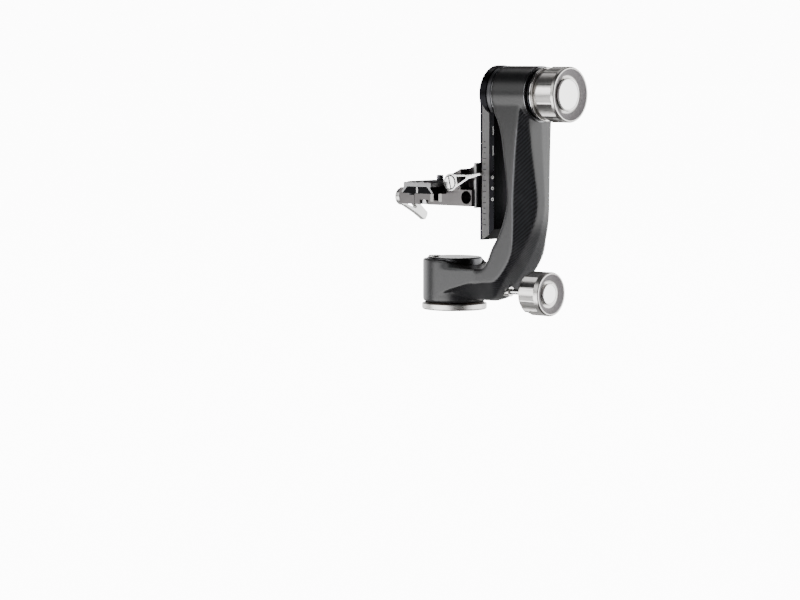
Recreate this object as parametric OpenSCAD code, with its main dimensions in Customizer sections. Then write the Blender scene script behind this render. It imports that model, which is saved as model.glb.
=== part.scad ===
// Gimbal tripod head: a side-mount gimbal with a J-shaped carbon arm, a swing rail,
// a sliding lens platform and a quick-release plate.
// The origin is the centre of the base disc's underside, +Z is up, and +X points at the arm.
// The pan axis is Z, and the tilt axis is parallel to X.

/* [Base] */
// Radius of the base disc
base_r = 30; // [28:0.5:32]
// Thickness of the base disc
base_h = 6; // [5:0.5:8]
// Radius of the tripod thread in the base
tripod_thread_r = 4.76; // [3.2:0.01:4.8]
// Radius of the spindle's journals
spindle_r = 8; // [7:0.5:9]
// Height of one pan bearing
pan_bearing_h = 6; // [5:0.5:7]
// Outer radius of the pan bearings
pan_bearing_r = 14; // [13:0.5:16]

/* [Lower drum] */
// Outer radius of the lower drum
drum_r = 29.2; // [28:0.2:33]
// Height of the lower drum's rim above the origin
drum_top = 47; // [46:0.5:52]
// Radius of the cap on the lower drum
cap_r = 25.6; // [25:0.2:26.6]
// How far the cap stands above the drum's rim
cap_rise = 1.4; // [1:0.2:3]

/* [Arm] */
// Half of the arm's width
arm_half = 24; // [22:0.5:25]
// Distance from the pan axis to the upper drum's inner face
arm_x = 64.4; // [62:0.5:75]
// Height of the tilt axis
tilt_z = 199; // [190:1:230]
// Radius of the upper drum
head_r = 25.5; // [25.5:0.1:27]
// Length of the upper drum
head_len = 39.6; // [38:0.2:46]

/* [Tilt parts] */
// Radius of the tilt shaft
tilt_shaft_r = 7; // [6:0.5:8]
// Outer radius of the tilt bearings
tilt_bearing_r = 13; // [12:0.5:15]
// Width of one tilt bearing
tilt_bearing_w = 7; // [6:0.5:9]
// Thickness of the hub disc
hub_t = 4.7; // [4:0.1:6]
// Thickness of the rail's head disc
rail_head_t = 8.1; // [6:0.1:9]

/* [Rail] */
// Distance from the tilt axis to the rail's lower end
rail_drop = 132; // [125:1:133]
// Half of the rail's width over its lips
rail_half = 24; // [22:0.5:25]
// Thickness of the rail's lip
rail_lip = 2.8; // [2:0.1:3.2]
// Depth of the rail's 45 degree bevel
rail_bevel = 4.5; // [3:0.1:5]
// Half width of the T-slot's mouth
slot_half = 5; // [4:0.5:6]
// Half width of the T-slot's inside
slot_wide = 9; // [8:0.5:11]

/* [Platform] */
// Drop from the tilt axis to the platform's underside
platform_drop = 101.6; // [95:0.2:104]
// Half of the platform's width along the lens
platform_half = 32; // [28:0.5:34]
// Thickness of the platform bar under the plate
bar_t = 10.7; // [10:0.1:13]
// Height of the platform's back plate
back_h = 41; // [38:0.5:46]
// Distance from the pan axis to the jaw's free end
jaw_reach = 40; // [36:0.5:44]
// Radius of the hole through the platform
cross_hole_r = 5.8; // [4:0.1:6]

/* [Levers] */
// Radius of a lever's hub
lever_r = 8; // [7:0.25:8.5]
// Length of a lever from its axis to its tip
lever_len = 37; // [32:0.5:40]
// Thickness of a lever
lever_t = 5; // [4:0.25:6]

/* [Quick-release plate] */
// Half width of the dovetail
dovetail_half = 19; // [18.5:0.1:19.5]
// Length of the plate
plate_len = 100; // [90:1:120]
// Half width of the plate's top
plate_top_half = 16.5; // [15.5:0.1:18]
// Height of the whole plate
plate_h = 10.2; // [9.5:0.1:12]
// Radius of the camera screws' thread
camera_thread_r = 3.175; // [3:0.005:3.175]

/* [Tilt knob] */
// Radius of the tilt knob
tilt_knob_r = 25; // [23:0.5:27]
// Length of the tilt knob
tilt_knob_len = 28.8; // [26:0.2:32]
// Number of flutes on each knob
flutes = 10; // [8:1:12]

/* [Pan knob] */
// Height of the pan lock's axis
pan_lock_z = 19.5; // [19.5:0.1:20]
// Distance from the pan axis to the pan knob's inner end
pan_knob_x = 88; // [86:0.5:96]
// Radius of the pan knob
pan_knob_r = 20; // [18:0.5:20.5]
// Length of the pan knob
pan_knob_len = 27.7; // [25:0.1:30]
// Radius of the pan lock's shaft
lock_shaft_r = 2.5; // [2:0.1:3]

/* [Hidden] */
$fn = 72;

// Clearances: a seat inside one body, a running fit, and a gap between moving faces
seat = 0.02;
run = 0.05;
gap = 0.3;
through = 1;

// Base stack, from the disc's top upwards
bush_r = spindle_r;
bush_h = base_h + 3.4;
flange_r = 17;
flange_top = base_h + 3;
shoulder_top = flange_top + 1;
bearing_low_z = shoulder_top;
bearing_high_z = pan_lock_z + 7.5;
journal_top = bearing_high_z + pan_bearing_h + 0.9;
spindle_thread_r = spindle_r - 2;
nut_h = 5;
spindle_top = journal_top + nut_h + 1;
base_screw_circle = 12.5;
base_screw_r = 2;
washer_h = 0.7;

// Lower drum
drum_low = base_h + washer_h + gap;
housing_r = cap_r - 1.6;
cap_low = spindle_top - 2;
cap_top = drum_top + cap_rise;
cap_wall = 3;

// Arm: the horizontal bar's top, measured down from the drum's rim
bar_top = drum_top - 7;
bar_low = drum_low + 4;

// Tilt stack along X
hub_x = arm_x - gap - hub_t;
rail_x = hub_x - rail_head_t;
rail_back = hub_x + hub_t;
rail_low = tilt_z - rail_drop;
head_end = arm_x + head_len;
tilt_bore_r = tilt_bearing_r + 8;
shaft_head_r = 11;
shaft_head_t = 2.9;
ring_t = 2;
tilt_washer_t = 1.4;
tilt_knob_x = head_end + ring_t + tilt_washer_t + 2 * gap;
tilt_thread_r = 4;
tilt_thread_len = 18;

// Rail and its T-slot
rail_neck = rail_half - rail_bevel;
slot_lip = 2.9;
slot_depth = 6.3;
slot_low = rail_low + 7;
slot_high = tilt_z - 37;

// Platform, from its underside upwards
plat_z = tilt_z - platform_drop;
floor_z = plat_z + bar_t;
plate_x = -2;
plate_low = floor_z + gap;
jaw_top = floor_z + 4.4;
jaw_rise = 1.4;
jaw_undercut = jaw_top - floor_z - jaw_rise;
back_t = 2.9;
back_x = rail_x - gap - back_t;
back_half = 29;
gusset_half = platform_half - 12;
back_low = plat_z - 1.4;
split_x = plate_x - dovetail_half - gap;
lever_x = plate_x + dovetail_half + gap + 1.6 + lever_r;
lever_z = jaw_top + lever_r - 1.5;
lever_angle = 14;
cam_r = 5;
pull_rod_r = 3;
rod_y = -platform_half + lever_r;
rod_z = plat_z + 6.1;
clamp_rod_r = 3;
jaw_low_x = -jaw_reach;
clamp_lever_angle = 35;

// A solid of revolution about an axis parallel to X through (x, y, z)
module along_x(x, y, z) {
  translate([x, y, z]) rotate([0, 90, 0]) children();
}

// A solid whose own Z points along -Y, with its start at (x, y, z)
module along_minus_y(x, y, z) {
  translate([x, y, z]) rotate([90, 0, 0]) children();
}

// A profile drawn in X and Z, given a thickness along Y about the middle
module slab(half) {
  translate([0, half, 0]) rotate([90, 0, 0]) linear_extrude(2 * half) children();
}

module tube(r_out, r_in, h) {
  rotate_extrude() translate([r_in, 0]) square([r_out - r_in, h]);
}

// A sealed ball bearing: its two rings with the shield set back between them
module bearing(r_out, r_in, h) {
  ring = (r_out - r_in) / 3.2;
  shield = 0.5;
  rotate_extrude() polygon([
    [r_in, 0], [r_in + ring, 0], [r_in + ring, shield], [r_out - ring, shield], [r_out - ring, 0],
    [r_out, 0], [r_out, h], [r_out - ring, h], [r_out - ring, h - shield],
    [r_in + ring, h - shield], [r_in + ring, h], [r_in, h]
  ]);
}

// A countersunk screw that points up, with its head's face at z = 0
module sunk_screw(shank_r, head_r, len) {
  difference() {
    rotate_extrude() polygon([
      [0, 0], [head_r, 0], [head_r, 0.3], [shank_r, head_r - shank_r + 0.3], [shank_r, len], [0, len]
    ]);
    translate([0, 0, -through]) cylinder(r = shank_r * 0.62, h = through + 1.4, $fn = 6);
  }
}

// The hole for such a screw
module sunk_hole(shank_r, head_r, len) {
  translate([0, 0, -through]) cylinder(r = head_r + run, h = through + 0.3 + run);
  rotate_extrude() polygon([
    [0, 0.3], [head_r + run, 0.3], [shank_r + run, head_r - shank_r + 0.3],
    [shank_r + run, len + run], [0, len + run]
  ]);
}

module on_circle(count, radius) {
  for (i = [0 : count - 1]) rotate([0, 0, i * 360 / count]) translate([radius, 0, 0]) children();
}

// ---- Base ----

module base_disc() {
  color("silver") difference() {
    rotate_extrude() polygon([
      [bush_r + seat, 0], [base_r - 1.2, 0], [base_r, 1.2], [base_r, base_h - 0.7],
      [base_r - 0.7, base_h], [bush_r + seat, base_h]
    ]);
    on_circle(3, base_screw_circle) sunk_hole(base_screw_r, 2 * base_screw_r, base_h + through);
  }
}

module thread_bush() {
  color("goldenrod") tube(bush_r, tripod_thread_r, bush_h);
}

module pan_spindle() {
  color("lightgrey") difference() {
    rotate_extrude() polygon([
      [bush_r + seat, base_h], [flange_r, base_h], [flange_r, flange_top],
      [spindle_r + 2, flange_top], [spindle_r + 2, shoulder_top], [spindle_r, shoulder_top],
      [spindle_r, journal_top], [spindle_thread_r, journal_top],
      [spindle_thread_r, spindle_top - 0.8], [spindle_thread_r - 0.8, spindle_top], [0, spindle_top],
      [0, bush_h + seat], [bush_r + seat, bush_h + seat]
    ]);
    on_circle(3, base_screw_circle)
      translate([0, 0, base_h - through]) cylinder(r = base_screw_r + run, h = flange_top - base_h + through - 0.4);
  }
}

module base_screws() {
  color("dimgrey") on_circle(3, base_screw_circle)
    sunk_screw(base_screw_r, 2 * base_screw_r, flange_top - 0.5);
}

module thrust_washer() {
  color("sandybrown") translate([0, 0, base_h]) tube(base_r - 2.5, flange_r + 1, washer_h);
}

module pan_washer() {
  color("grey") translate([0, 0, bearing_high_z + pan_bearing_h + gap])
    tube(spindle_r + 4, spindle_r + seat, journal_top - bearing_high_z - pan_bearing_h - gap);
}

// The slotted nut that holds the yoke down on the spindle
module pan_nut() {
  color("dimgrey") difference() {
    translate([0, 0, journal_top]) tube(spindle_r + 3, spindle_thread_r + seat, nut_h);
    for (i = [0 : 3]) rotate([0, 0, 90 * i])
      translate([spindle_r + 1, -1.5, journal_top + nut_h - 2]) cube([4, 3, 3]);
  }
}

// ---- Yoke ----

// Stations along the arm, from the lower drum round the elbow to the upper drum.
// Each holds the inner edge, the crease and the outer edge in X and Z, and the outer half width.
arm_stations = [
  [[4, drum_top], [4, drum_low + 7], [4, drum_low + 3], 22],
  [[13, drum_top - 1.2], [13, drum_low + 9], [13, drum_low + 4], 19],
  [[27, bar_top + 1.5], [25, drum_low + 15], [27, bar_low], 13],
  [[arm_x - 24, bar_top], [arm_x - 24.5, drum_low + 18.8], [arm_x - 24, bar_low], 10.5],
  [[arm_x - 16, bar_top + 0.4], [arm_x - 9, drum_low + 21.2], [arm_x - 11, bar_low + 0.6], 10.5],
  [[arm_x - 11, bar_top + 2.4], [arm_x + 2.5, drum_low + 22.3], [arm_x - 2.4, bar_low + 6], 13],
  [[arm_x - 5.9, bar_top + 9.5], [arm_x + 11, bar_top - 4], [arm_x + 12.4, bar_top - 7], 18],
  [[arm_x - 1.2, bar_top + 19.8], [arm_x + 19.8, bar_top + 8], [arm_x + 23.4, bar_top + 8], 17.5],
  [[arm_x + 6, bar_top + 31], [arm_x + 24.2, bar_top + 20], [arm_x + 30, bar_top + 19.5], 15],
  [[arm_x + 12.4, bar_top + 45], [arm_x + 24.9, bar_top + 35], [arm_x + 36.8, bar_top + 34.5], 11.6],
  [[arm_x + 15.7, bar_top + 57], [arm_x + 24.8, bar_top + 50], [arm_x + 41, bar_top + 50], 9.2],
  [[arm_x + 16.2, bar_top + 68], [arm_x + 24.7, bar_top + 66], [arm_x + 41.8, bar_top + 66], 8.7],
  [[arm_x + 14.3, tilt_z - 72], [arm_x + 26, tilt_z - 72], [arm_x + 40.4, tilt_z - 72], 10.8],
  [[arm_x + 11.9, tilt_z - 52], [arm_x + 27.4, tilt_z - 52], [arm_x + 39, tilt_z - 52], 12.9],
  [[arm_x + 9.2, tilt_z - 36], [arm_x + 29.2, tilt_z - 36], [arm_x + 38.2, tilt_z - 36], 14.2],
  [[arm_x + 5.2, tilt_z - 24], [arm_x + 31, tilt_z - 23], [arm_x + 37.8, tilt_z - 23], 15],
  [[arm_x + 0.8, tilt_z - 15], [arm_x + 33, tilt_z - 11], [arm_x + 37.6, tilt_z - 11], 16],
  [[arm_x, tilt_z - 3], [arm_x + 34, tilt_z - 3], [arm_x + 37.6, tilt_z - 3], 17]
];
arm_steps = 4;
arm_round = 3;

// A smooth curve through four neighbouring values, at the fraction t between the middle two
function smooth(a, b, c, d, t) =
  0.5 * (2 * b + (c - a) * t + (2 * a - 5 * b + 4 * c - d) * t * t + (3 * b - a - 3 * c + d) * t * t * t);

last_station = len(arm_stations) - 1;

function arm_value(s, column) =
  let (i = min(floor(s), last_station - 1), t = s - i)
  smooth(
    arm_stations[max(i - 1, 0)][column], arm_stations[i][column],
    arm_stations[i + 1][column], arm_stations[min(i + 2, last_station)][column], t
  );

// One closed ring of the arm: rounded inner edges, the side's crease and the crowned outer face
function arm_ring(s) =
  let (
    inner = arm_value(s, 0), crease = arm_value(s, 1), outer = arm_value(s, 2),
    half = arm_value(s, 3), side = (crease - inner) / norm(crease - inner),
    out = (outer - inner) / norm(outer - inner), r = arm_round,
    half_ring = [
      [inner, arm_half - r],
      [inner + side * r * 0.3, arm_half - r * 0.3],
      [inner + side * r, arm_half],
      [crease - side * 0.6, arm_half],
      [crease + (outer - crease) * 0.06, arm_half - (arm_half - half) * 0.06],
      [outer - (outer - crease) * 0.06, half + (arm_half - half) * 0.06],
      [outer, half - 0.8]
    ]
  )
  concat(
    [for (p = half_ring) [p[0][0], -p[1], p[0][1]]],
    [[outer[0] + out[0] * 1.2, 0, outer[1] + out[1] * 1.2]],
    [for (i = [len(half_ring) - 1 : -1 : 0]) [half_ring[i][0][0], half_ring[i][1], half_ring[i][0][1]]]
  );

module arm_loft() {
  rings = [for (k = [0 : last_station * arm_steps]) arm_ring(k / arm_steps)];
  n = len(rings[0]);
  points = [for (ring = rings) for (p = ring) p];
  walls = [
    for (k = [0 : len(rings) - 2]) for (i = [0 : n - 1]) for (half = [0, 1])
      let (a = k * n + i, b = k * n + (i + 1) % n, c = a + n, d = b + n)
      half == 0 ? [a, c, b] : [b, c, d]
  ];
  first_cap = [for (i = [0 : n - 1]) i];
  last_cap = [for (i = [n - 1 : -1 : 0]) (len(rings) - 1) * n + i];
  polyhedron(points = points, faces = concat(walls, [first_cap, last_cap]));
}

module lower_drum() {
  foot = 3;
  rotate_extrude() polygon(concat(
    [[0, drum_low]],
    [for (a = [-90 : 15 : 0]) [drum_r - foot + foot * cos(a), drum_low + foot + foot * sin(a)]],
    [[drum_r, drum_top - 0.8], [drum_r - 0.8, drum_top], [0, drum_top]]
  ));
}

module upper_drum() {
  lip = 1.5;
  along_x(arm_x, 0, tilt_z) rotate_extrude() polygon([
    [0, 0], [head_r - 0.5, 0], [head_r, 0.5], [head_r, head_len - lip],
    [head_r - lip, head_len], [0, head_len]
  ]);
}

// The rim of the lower drum falls away to the bar's top on the arm's side
module rim_cut() {
  slab(drum_r + through) polygon([
    [10, drum_top], [13, drum_top - 1.2], [18, drum_top - 3], [22.5, drum_top - 4.4],
    [27, bar_top + 1.5], [arm_x - 30, bar_top + 0.4], [arm_x - 30, drum_top + 5], [10, drum_top + 5]
  ]);
}

module arm_shell() {
  color("#4a4b4e") difference() {
    union() {
      arm_loft();
      lower_drum();
      upper_drum();
    }
    rim_cut();
    translate([0, 0, drum_low - through]) cylinder(r = housing_r + seat, h = cap_low - drum_low + 2 * through);
    translate([0, 0, cap_low]) cylinder(r = cap_r + seat, h = 20);
    along_x(arm_x - through, 0, tilt_z) cylinder(r = tilt_bore_r + seat, h = head_len + 2 * through);
    along_x(0, 0, pan_lock_z) cylinder(r = lock_shaft_r + 1, h = pan_knob_x);
    along_x(bush_seat_x, 0, pan_lock_z) cylinder(r = lock_bush_r + seat, h = pan_knob_x);
  }
}

lock_bush_r = 4.6;
bush_seat_x = arm_x - 6;
lock_bush_len = 10;

module pan_housing() {
  step = 0.4;
  color("darkgrey") difference() {
    translate([0, 0, drum_low]) cylinder(r = housing_r, h = cap_low - drum_low);
    translate([0, 0, drum_low - through]) cylinder(r = flange_r + 1, h = flange_top + gap - drum_low + through);
    translate([0, 0, drum_low]) cylinder(r = pan_bearing_r + seat, h = bearing_low_z + pan_bearing_h - drum_low);
    translate([0, 0, drum_low]) cylinder(r = spindle_r + 2, h = cap_low);
    translate([0, 0, bearing_high_z]) cylinder(r = pan_bearing_r + seat, h = cap_low);
    along_x(0, 0, pan_lock_z) cylinder(r = brake_r + run, h = spindle_r + 9 + step);
    along_x(0, 0, pan_lock_z) cylinder(r = lock_shaft_r + gap, h = housing_r + through);
  }
}

module pan_bearing_lower() {
  color("silver") translate([0, 0, bearing_low_z]) bearing(pan_bearing_r, spindle_r + run, pan_bearing_h);
}

module pan_bearing_upper() {
  color("silver") translate([0, 0, bearing_high_z]) bearing(pan_bearing_r, spindle_r + run, pan_bearing_h);
}

level_r = 6;
level_x = -13.5;
level_y = -12;

module base_cap() {
  color("#1c1d1f") difference() {
    rotate_extrude() polygon([
      [0, cap_top - cap_wall], [cap_r - cap_wall, cap_top - cap_wall], [cap_r - cap_wall, cap_low],
      [cap_r, cap_low], [cap_r, cap_top - 1], [cap_r - 1, cap_top], [0, cap_top]
    ]);
    translate([level_x, level_y, cap_top - 1]) cylinder(r = level_r + seat, h = 1 + through);
  }
}

module level_ring() {
  color("gainsboro") translate([level_x, level_y, cap_top - 1]) rotate_extrude() polygon([
    [0, 0], [level_r, 0], [level_r, 2], [level_r - 0.6, 2.4], [level_r - 1.6, 2.4],
    [level_r - 1.6, 0.8], [0, 0.8]
  ]);
}

module level_lens() {
  color("yellowgreen") translate([level_x, level_y, cap_top - 1]) rotate_extrude() polygon([
    [0, 0.8], [level_r - 1.6 - seat, 0.8], [level_r - 1.6 - seat, 2], [level_r - 3, 2.3], [0, 2.4]
  ]);
}

module lock_bush() {
  color("silver") along_x(bush_seat_x, 0, pan_lock_z)
    tube(lock_bush_r, lock_shaft_r + run, lock_bush_len);
}

module tilt_housing() {
  inset = 2;
  color("darkgrey") difference() {
    along_x(arm_x, 0, tilt_z) cylinder(r = tilt_bore_r, h = head_len);
    along_x(arm_x, 0, tilt_z) cylinder(r = tilt_shaft_r + 3, h = head_len + through);
    along_x(arm_x - through, 0, tilt_z)
      cylinder(r = tilt_bearing_r + seat, h = through + inset + tilt_bearing_w);
    along_x(head_end - inset - tilt_bearing_w, 0, tilt_z)
      cylinder(r = tilt_bearing_r + seat, h = through + inset + tilt_bearing_w);
  }
}

module tilt_bearing(x) {
  color("silver") along_x(x, 0, tilt_z) bearing(tilt_bearing_r, tilt_shaft_r + run, tilt_bearing_w);
}

module tilt_bearing_inner() {
  tilt_bearing(arm_x + 2);
}

module tilt_bearing_outer() {
  tilt_bearing(head_end - 2 - tilt_bearing_w);
}

module drum_end_ring() {
  color("#141416") along_x(head_end, 0, tilt_z) rotate_extrude() polygon([
    [tilt_shaft_r + 1, 0], [head_r - 3, 0], [head_r - 3, ring_t - 0.5], [head_r - 3.5, ring_t],
    [tilt_shaft_r + 1, ring_t]
  ]);
}

// ---- Pan lock ----

brake_r = 3;
brake_end = spindle_r + 6;

// The pad that presses on the spindle, hollowed to its radius
module brake_pad() {
  color("sienna") difference() {
    along_x(spindle_r / 2, 0, pan_lock_z) cylinder(r = brake_r, h = brake_end - spindle_r / 2);
    cylinder(r = spindle_r + run, h = drum_top);
  }
}

module pan_lock_shaft() {
  color("silver") along_x(brake_end + run, 0, pan_lock_z)
    cylinder(r = lock_shaft_r, h = pan_knob_x + 12 - brake_end - run);
}

// Grooves along a knob's rim, cut from the front to a rounded end
module knob_flutes(r, start, len, flute_r, depth) {
  on_circle(flutes, r + flute_r - depth) translate([0, 0, start]) {
    cylinder(r = flute_r, h = len);
    sphere(r = flute_r);
  }
}

pan_face_r = 9.2;
pan_face_depth = 4.5;

module pan_knob() {
  r = pan_knob_r;
  len = pan_knob_len;
  color("silver") along_x(pan_knob_x, 0, pan_lock_z) difference() {
    rotate_extrude() polygon([
      [lock_shaft_r + seat, 0], [6, 0], [12, 1], [r - 4, 2.2], [r - 1.6, 3.8],
      [r, 6], [r, len - 5], [r - 1.8, len - 1], [r - 2.6, len], [r - 4, len],
      [pan_face_r + 2.5, len - 3], [pan_face_r + seat, len - 3], [pan_face_r + seat, len - pan_face_depth],
      [lock_shaft_r + seat, len - pan_face_depth]
    ]);
    knob_flutes(r, 6, len - 12, 5, 1.6);
  }
}

module pan_knob_face() {
  color("white") along_x(pan_knob_x + pan_knob_len - pan_face_depth, 0, pan_lock_z)
    rotate_extrude() polygon([
      [0, 0], [pan_face_r, 0], [pan_face_r, 1.5], [pan_face_r - 0.8, 2.2], [0, 2.6]
    ]);
}

// ---- Swing arm ----

module tilt_shaft() {
  shaft_len = tilt_knob_x - rail_x;
  color("lightgrey") difference() {
    along_x(rail_x, 0, tilt_z) rotate_extrude() polygon([
      [0, 0], [shaft_head_r - 0.6, 0], [shaft_head_r, 0.6], [shaft_head_r, shaft_head_t],
      [tilt_shaft_r, shaft_head_t], [tilt_shaft_r, shaft_len - 1], [tilt_thread_r, shaft_len - 1],
      [tilt_thread_r, shaft_len + tilt_thread_len], [0, shaft_len + tilt_thread_len]
    ]);
    along_x(rail_x - through, 0, tilt_z) cylinder(r = 3.5, h = through + 5, $fn = 6);
  }
}

hub_screw_circle = 18;
hub_screw_r = 2.2;

module hub_screw_places() {
  along_x(rail_x, 0, tilt_z) rotate([0, 0, 45]) on_circle(4, hub_screw_circle) children();
}

module hub_disc() {
  color("#2a2b2d") difference() {
    along_x(hub_x, 0, tilt_z) rotate_extrude() polygon([
      [tilt_shaft_r + seat, 0], [head_r - 0.6, 0], [head_r, 0.6], [head_r, hub_t - 0.6],
      [head_r - 0.6, hub_t], [tilt_shaft_r + seat, hub_t]
    ]);
    hub_screw_places() translate([0, 0, rail_head_t - through]) cylinder(r = hub_screw_r + run, h = hub_t);
  }
}

module hub_screws() {
  color("dimgrey") hub_screw_places() sunk_screw(hub_screw_r, 2 * hub_screw_r, rail_head_t + hub_t - 1.5);
}

module rail_profile(back) {
  polygon([
    [rail_x, -rail_half], [rail_x + rail_lip, -rail_half], [rail_x + rail_lip + rail_bevel, -rail_neck],
    [back, -rail_neck], [back, rail_neck], [rail_x + rail_lip + rail_bevel, rail_neck],
    [rail_x + rail_lip, rail_half], [rail_x, rail_half]
  ]);
}

rail_slots = [[tilt_z - 33, 8], [tilt_z - 51, 9]];
rail_screw_drops = [75, 85, 95];
rail_screw_r = 1.6;

module rail_screw_places() {
  for (side = [-1, 1]) for (drop = rail_screw_drops)
    translate([rail_back - 1.9, side * rail_neck, tilt_z - drop]) rotate([-side * 90, 0, 0]) children();
}

module swing_rail() {
  color("#1b1c1e") difference() {
    union() {
      along_x(rail_x, 0, tilt_z) rotate_extrude() polygon([
        [0, 0], [head_r, 0], [head_r + 0.5, 0.5], [head_r + 0.5, rail_head_t - 0.5],
        [head_r, rail_head_t], [0, rail_head_t]
      ]);
      translate([0, 0, rail_low]) linear_extrude(tilt_z - rail_low) rail_profile(rail_back);
    }
    // The hub disc's seat behind the head
    along_x(hub_x, 0, tilt_z) cylinder(r = head_r + 0.2, h = hub_t + through);
    translate([hub_x, -arm_half, tilt_z]) cube([hub_t + through, 2 * arm_half, arm_half]);
    // The mitred lower end
    slab(rail_half + through) polygon([
      [rail_x + rail_lip, rail_low - through], [rail_x + rail_lip, rail_low],
      [rail_back + through, rail_low + rail_back + through - rail_x - rail_lip],
      [rail_back + through, rail_low - through]
    ]);
    // T-slot for the platform's key
    translate([rail_x - through, -slot_half, slot_low])
      cube([slot_lip + 2 * through, 2 * slot_half, slot_high - slot_low]);
    translate([rail_x + slot_lip, -slot_wide, slot_low])
      cube([slot_depth - slot_lip, 2 * slot_wide, slot_high - slot_low]);
    // Shaft head, shaft and hub screws
    along_x(rail_x - through, 0, tilt_z) cylinder(r = shaft_head_r + seat, h = through + shaft_head_t);
    along_x(rail_x, 0, tilt_z) cylinder(r = tilt_shaft_r + seat, h = rail_head_t + through);
    hub_screw_places() sunk_hole(hub_screw_r, 2 * hub_screw_r, rail_head_t + through);
    // Side slots and side screws
    for (side = [-1, 1]) for (s = rail_slots)
      translate([rail_back - 2.6, side * rail_neck - 1, s[0] - s[1] / 2]) cube([1.6, 2, s[1]]);
    rail_screw_places() translate([0, 0, -4]) cylinder(r = rail_screw_r + run, h = 4 + through);
  }
}

module rail_side_screws() {
  color("silver") rail_screw_places() difference() {
    translate([0, 0, -3.9]) cylinder(r = rail_screw_r, h = 3.9);
    translate([0, 0, -1]) cylinder(r = 0.9, h = 2, $fn = 6);
  }
}

// ---- Tilt lock ----

module tilt_thrust_washer() {
  color("sandybrown") along_x(head_end + ring_t + gap, 0, tilt_z)
    tube(head_r - 8, tilt_shaft_r + run, tilt_washer_t);
}

module tilt_knob_flange() {
  color("whitesmoke") along_x(tilt_knob_x, 0, tilt_z) rotate_extrude() polygon([
    [tilt_thread_r + 3 + seat, 0], [tilt_knob_r - 1.4, 0], [tilt_knob_r - 0.4, 0.8],
    [tilt_knob_r - 0.4, 1.8], [tilt_knob_r - 1, 2.4], [tilt_thread_r + 3 + seat, 2.4]
  ]);
}

tilt_face_r = 13.5;
tilt_face_depth = 7;

module tilt_knob() {
  r = tilt_knob_r;
  len = tilt_knob_len;
  color("silver") along_x(tilt_knob_x, 0, tilt_z) difference() {
    rotate_extrude() polygon([
      [tilt_thread_r + run, 0], [tilt_thread_r + 3, 0], [tilt_thread_r + 3, 2.4], [r - 4.5, 2.4],
      [r, 9], [r, len - 1.6], [r - 1, len], [r - 2.4, len], [r - 6, len - 5], [tilt_face_r + seat, len - 5],
      [tilt_face_r + seat, len - tilt_face_depth], [tilt_thread_r + run, len - tilt_face_depth]
    ]);
    knob_flutes(r, 4, len - 9.5, 6, 2.4);
  }
}

module tilt_knob_face() {
  color("white") along_x(tilt_knob_x + tilt_knob_len - tilt_face_depth, 0, tilt_z)
    rotate_extrude() polygon([
      [0, 0], [tilt_face_r, 0], [tilt_face_r, 2.4], [tilt_face_r - 1, 3.2], [0, 3.6]
    ]);
}

// ---- Platform ----

gusset_top = back_low + back_h - 1;
stop_groove_x = 5.3;
stop_groove_w = 5.5;
cross_hole_x = back_x - 6.6;
cross_hole_z = plat_z + 8.1;
pin_x = -9.5;
pin_r = 2.2;
pocket_w = 10;
pocket_h = 4.2;
guide_y = platform_half - 10;
guide_r = 2.5;
guide_end = -2;
rod_end = pin_x - pin_r - 0.6;

module platform_profile() {
  right_wall = plate_x + dovetail_half + gap;
  difference() {
    union() {
      polygon([
        [split_x + gap, plat_z], [back_x, plat_z], [back_x, gusset_top], [back_x - 3, gusset_top],
        [lever_x - lever_r * cos(60), lever_z + lever_r * sin(60)], [lever_x - lever_r, lever_z],
        [lever_x - lever_r, jaw_top], [right_wall - jaw_undercut, jaw_top],
        [right_wall, floor_z + jaw_rise], [right_wall, floor_z], [split_x + gap, floor_z]
      ]);
      translate([lever_x, lever_z]) circle(r = lever_r);
    }
    translate([stop_groove_x - stop_groove_w / 2, floor_z - 6.5]) square([stop_groove_w, 7.5]);
    translate([cross_hole_x, cross_hole_z]) circle(r = cross_hole_r);
    translate([lever_x, lever_z]) circle(r = cam_r + run);
  }
}

module platform_bar() {
  color("#303134") difference() {
    slab(platform_half) platform_profile();
    // Behind the cam's boss the gusset is narrower than the bar
    for (side = [-1, 1]) translate([lever_x + lever_r, side * (gusset_half + platform_half), jaw_top])
      translate([0, -platform_half, 0]) cube([back_x, 2 * platform_half, back_h]);
    translate([pin_x - pocket_w / 2, -platform_half - through, plat_z - through])
      cube([pocket_w, 5 + through, pocket_h + through]);
    translate([pin_x, -platform_half + 12, plat_z + 2.4]) rotate([90, 0, 0]) cylinder(r = pin_r + seat, h = 12);
    along_x(split_x, rod_y, rod_z) cylinder(r = clamp_rod_r + run, h = rod_end - split_x);
    along_x(split_x, guide_y, rod_z) cylinder(r = guide_r + seat, h = guide_end - split_x);
    along_x(lever_x, 0, lever_z) cylinder(r = pull_rod_r + run, h = back_x - lever_x + through);
    platform_screw_places() translate([0, 0, -platform_screw_len - 2])
      cylinder(r = platform_screw_r + run, h = platform_screw_len + 2);
  }
}

platform_screw_r = 2;
platform_screw_len = back_t + 8;

// The back plate's screws, with each screw's head towards the rail
module platform_screw_places() {
  for (y = [-13, 13]) for (z = [lever_z - 3, lever_z + 9])
    translate([back_x + back_t, y, z]) rotate([0, 90, 0]) children();
}

module platform_back() {
  color("#1f2022") difference() {
    translate([back_x, -back_half, back_low]) cube([back_t, 2 * back_half, back_h]);
    for (side = [-1, 1]) translate([back_x - through, side * back_half, back_low + back_h])
      rotate([45, 0, 0]) cube([back_t + 2 * through, 5, 5], center = false);
    along_x(back_x - through, 0, lever_z) cylinder(r = pull_rod_r + run, h = back_t + 2 * through);
    platform_screw_places() mirror([0, 0, 1])
      sunk_hole(platform_screw_r, 2 * platform_screw_r, back_t + through);
  }
}

module platform_screws() {
  color("dimgrey") platform_screw_places() mirror([0, 0, 1])
    sunk_screw(platform_screw_r, 2 * platform_screw_r, platform_screw_len);
}

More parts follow.
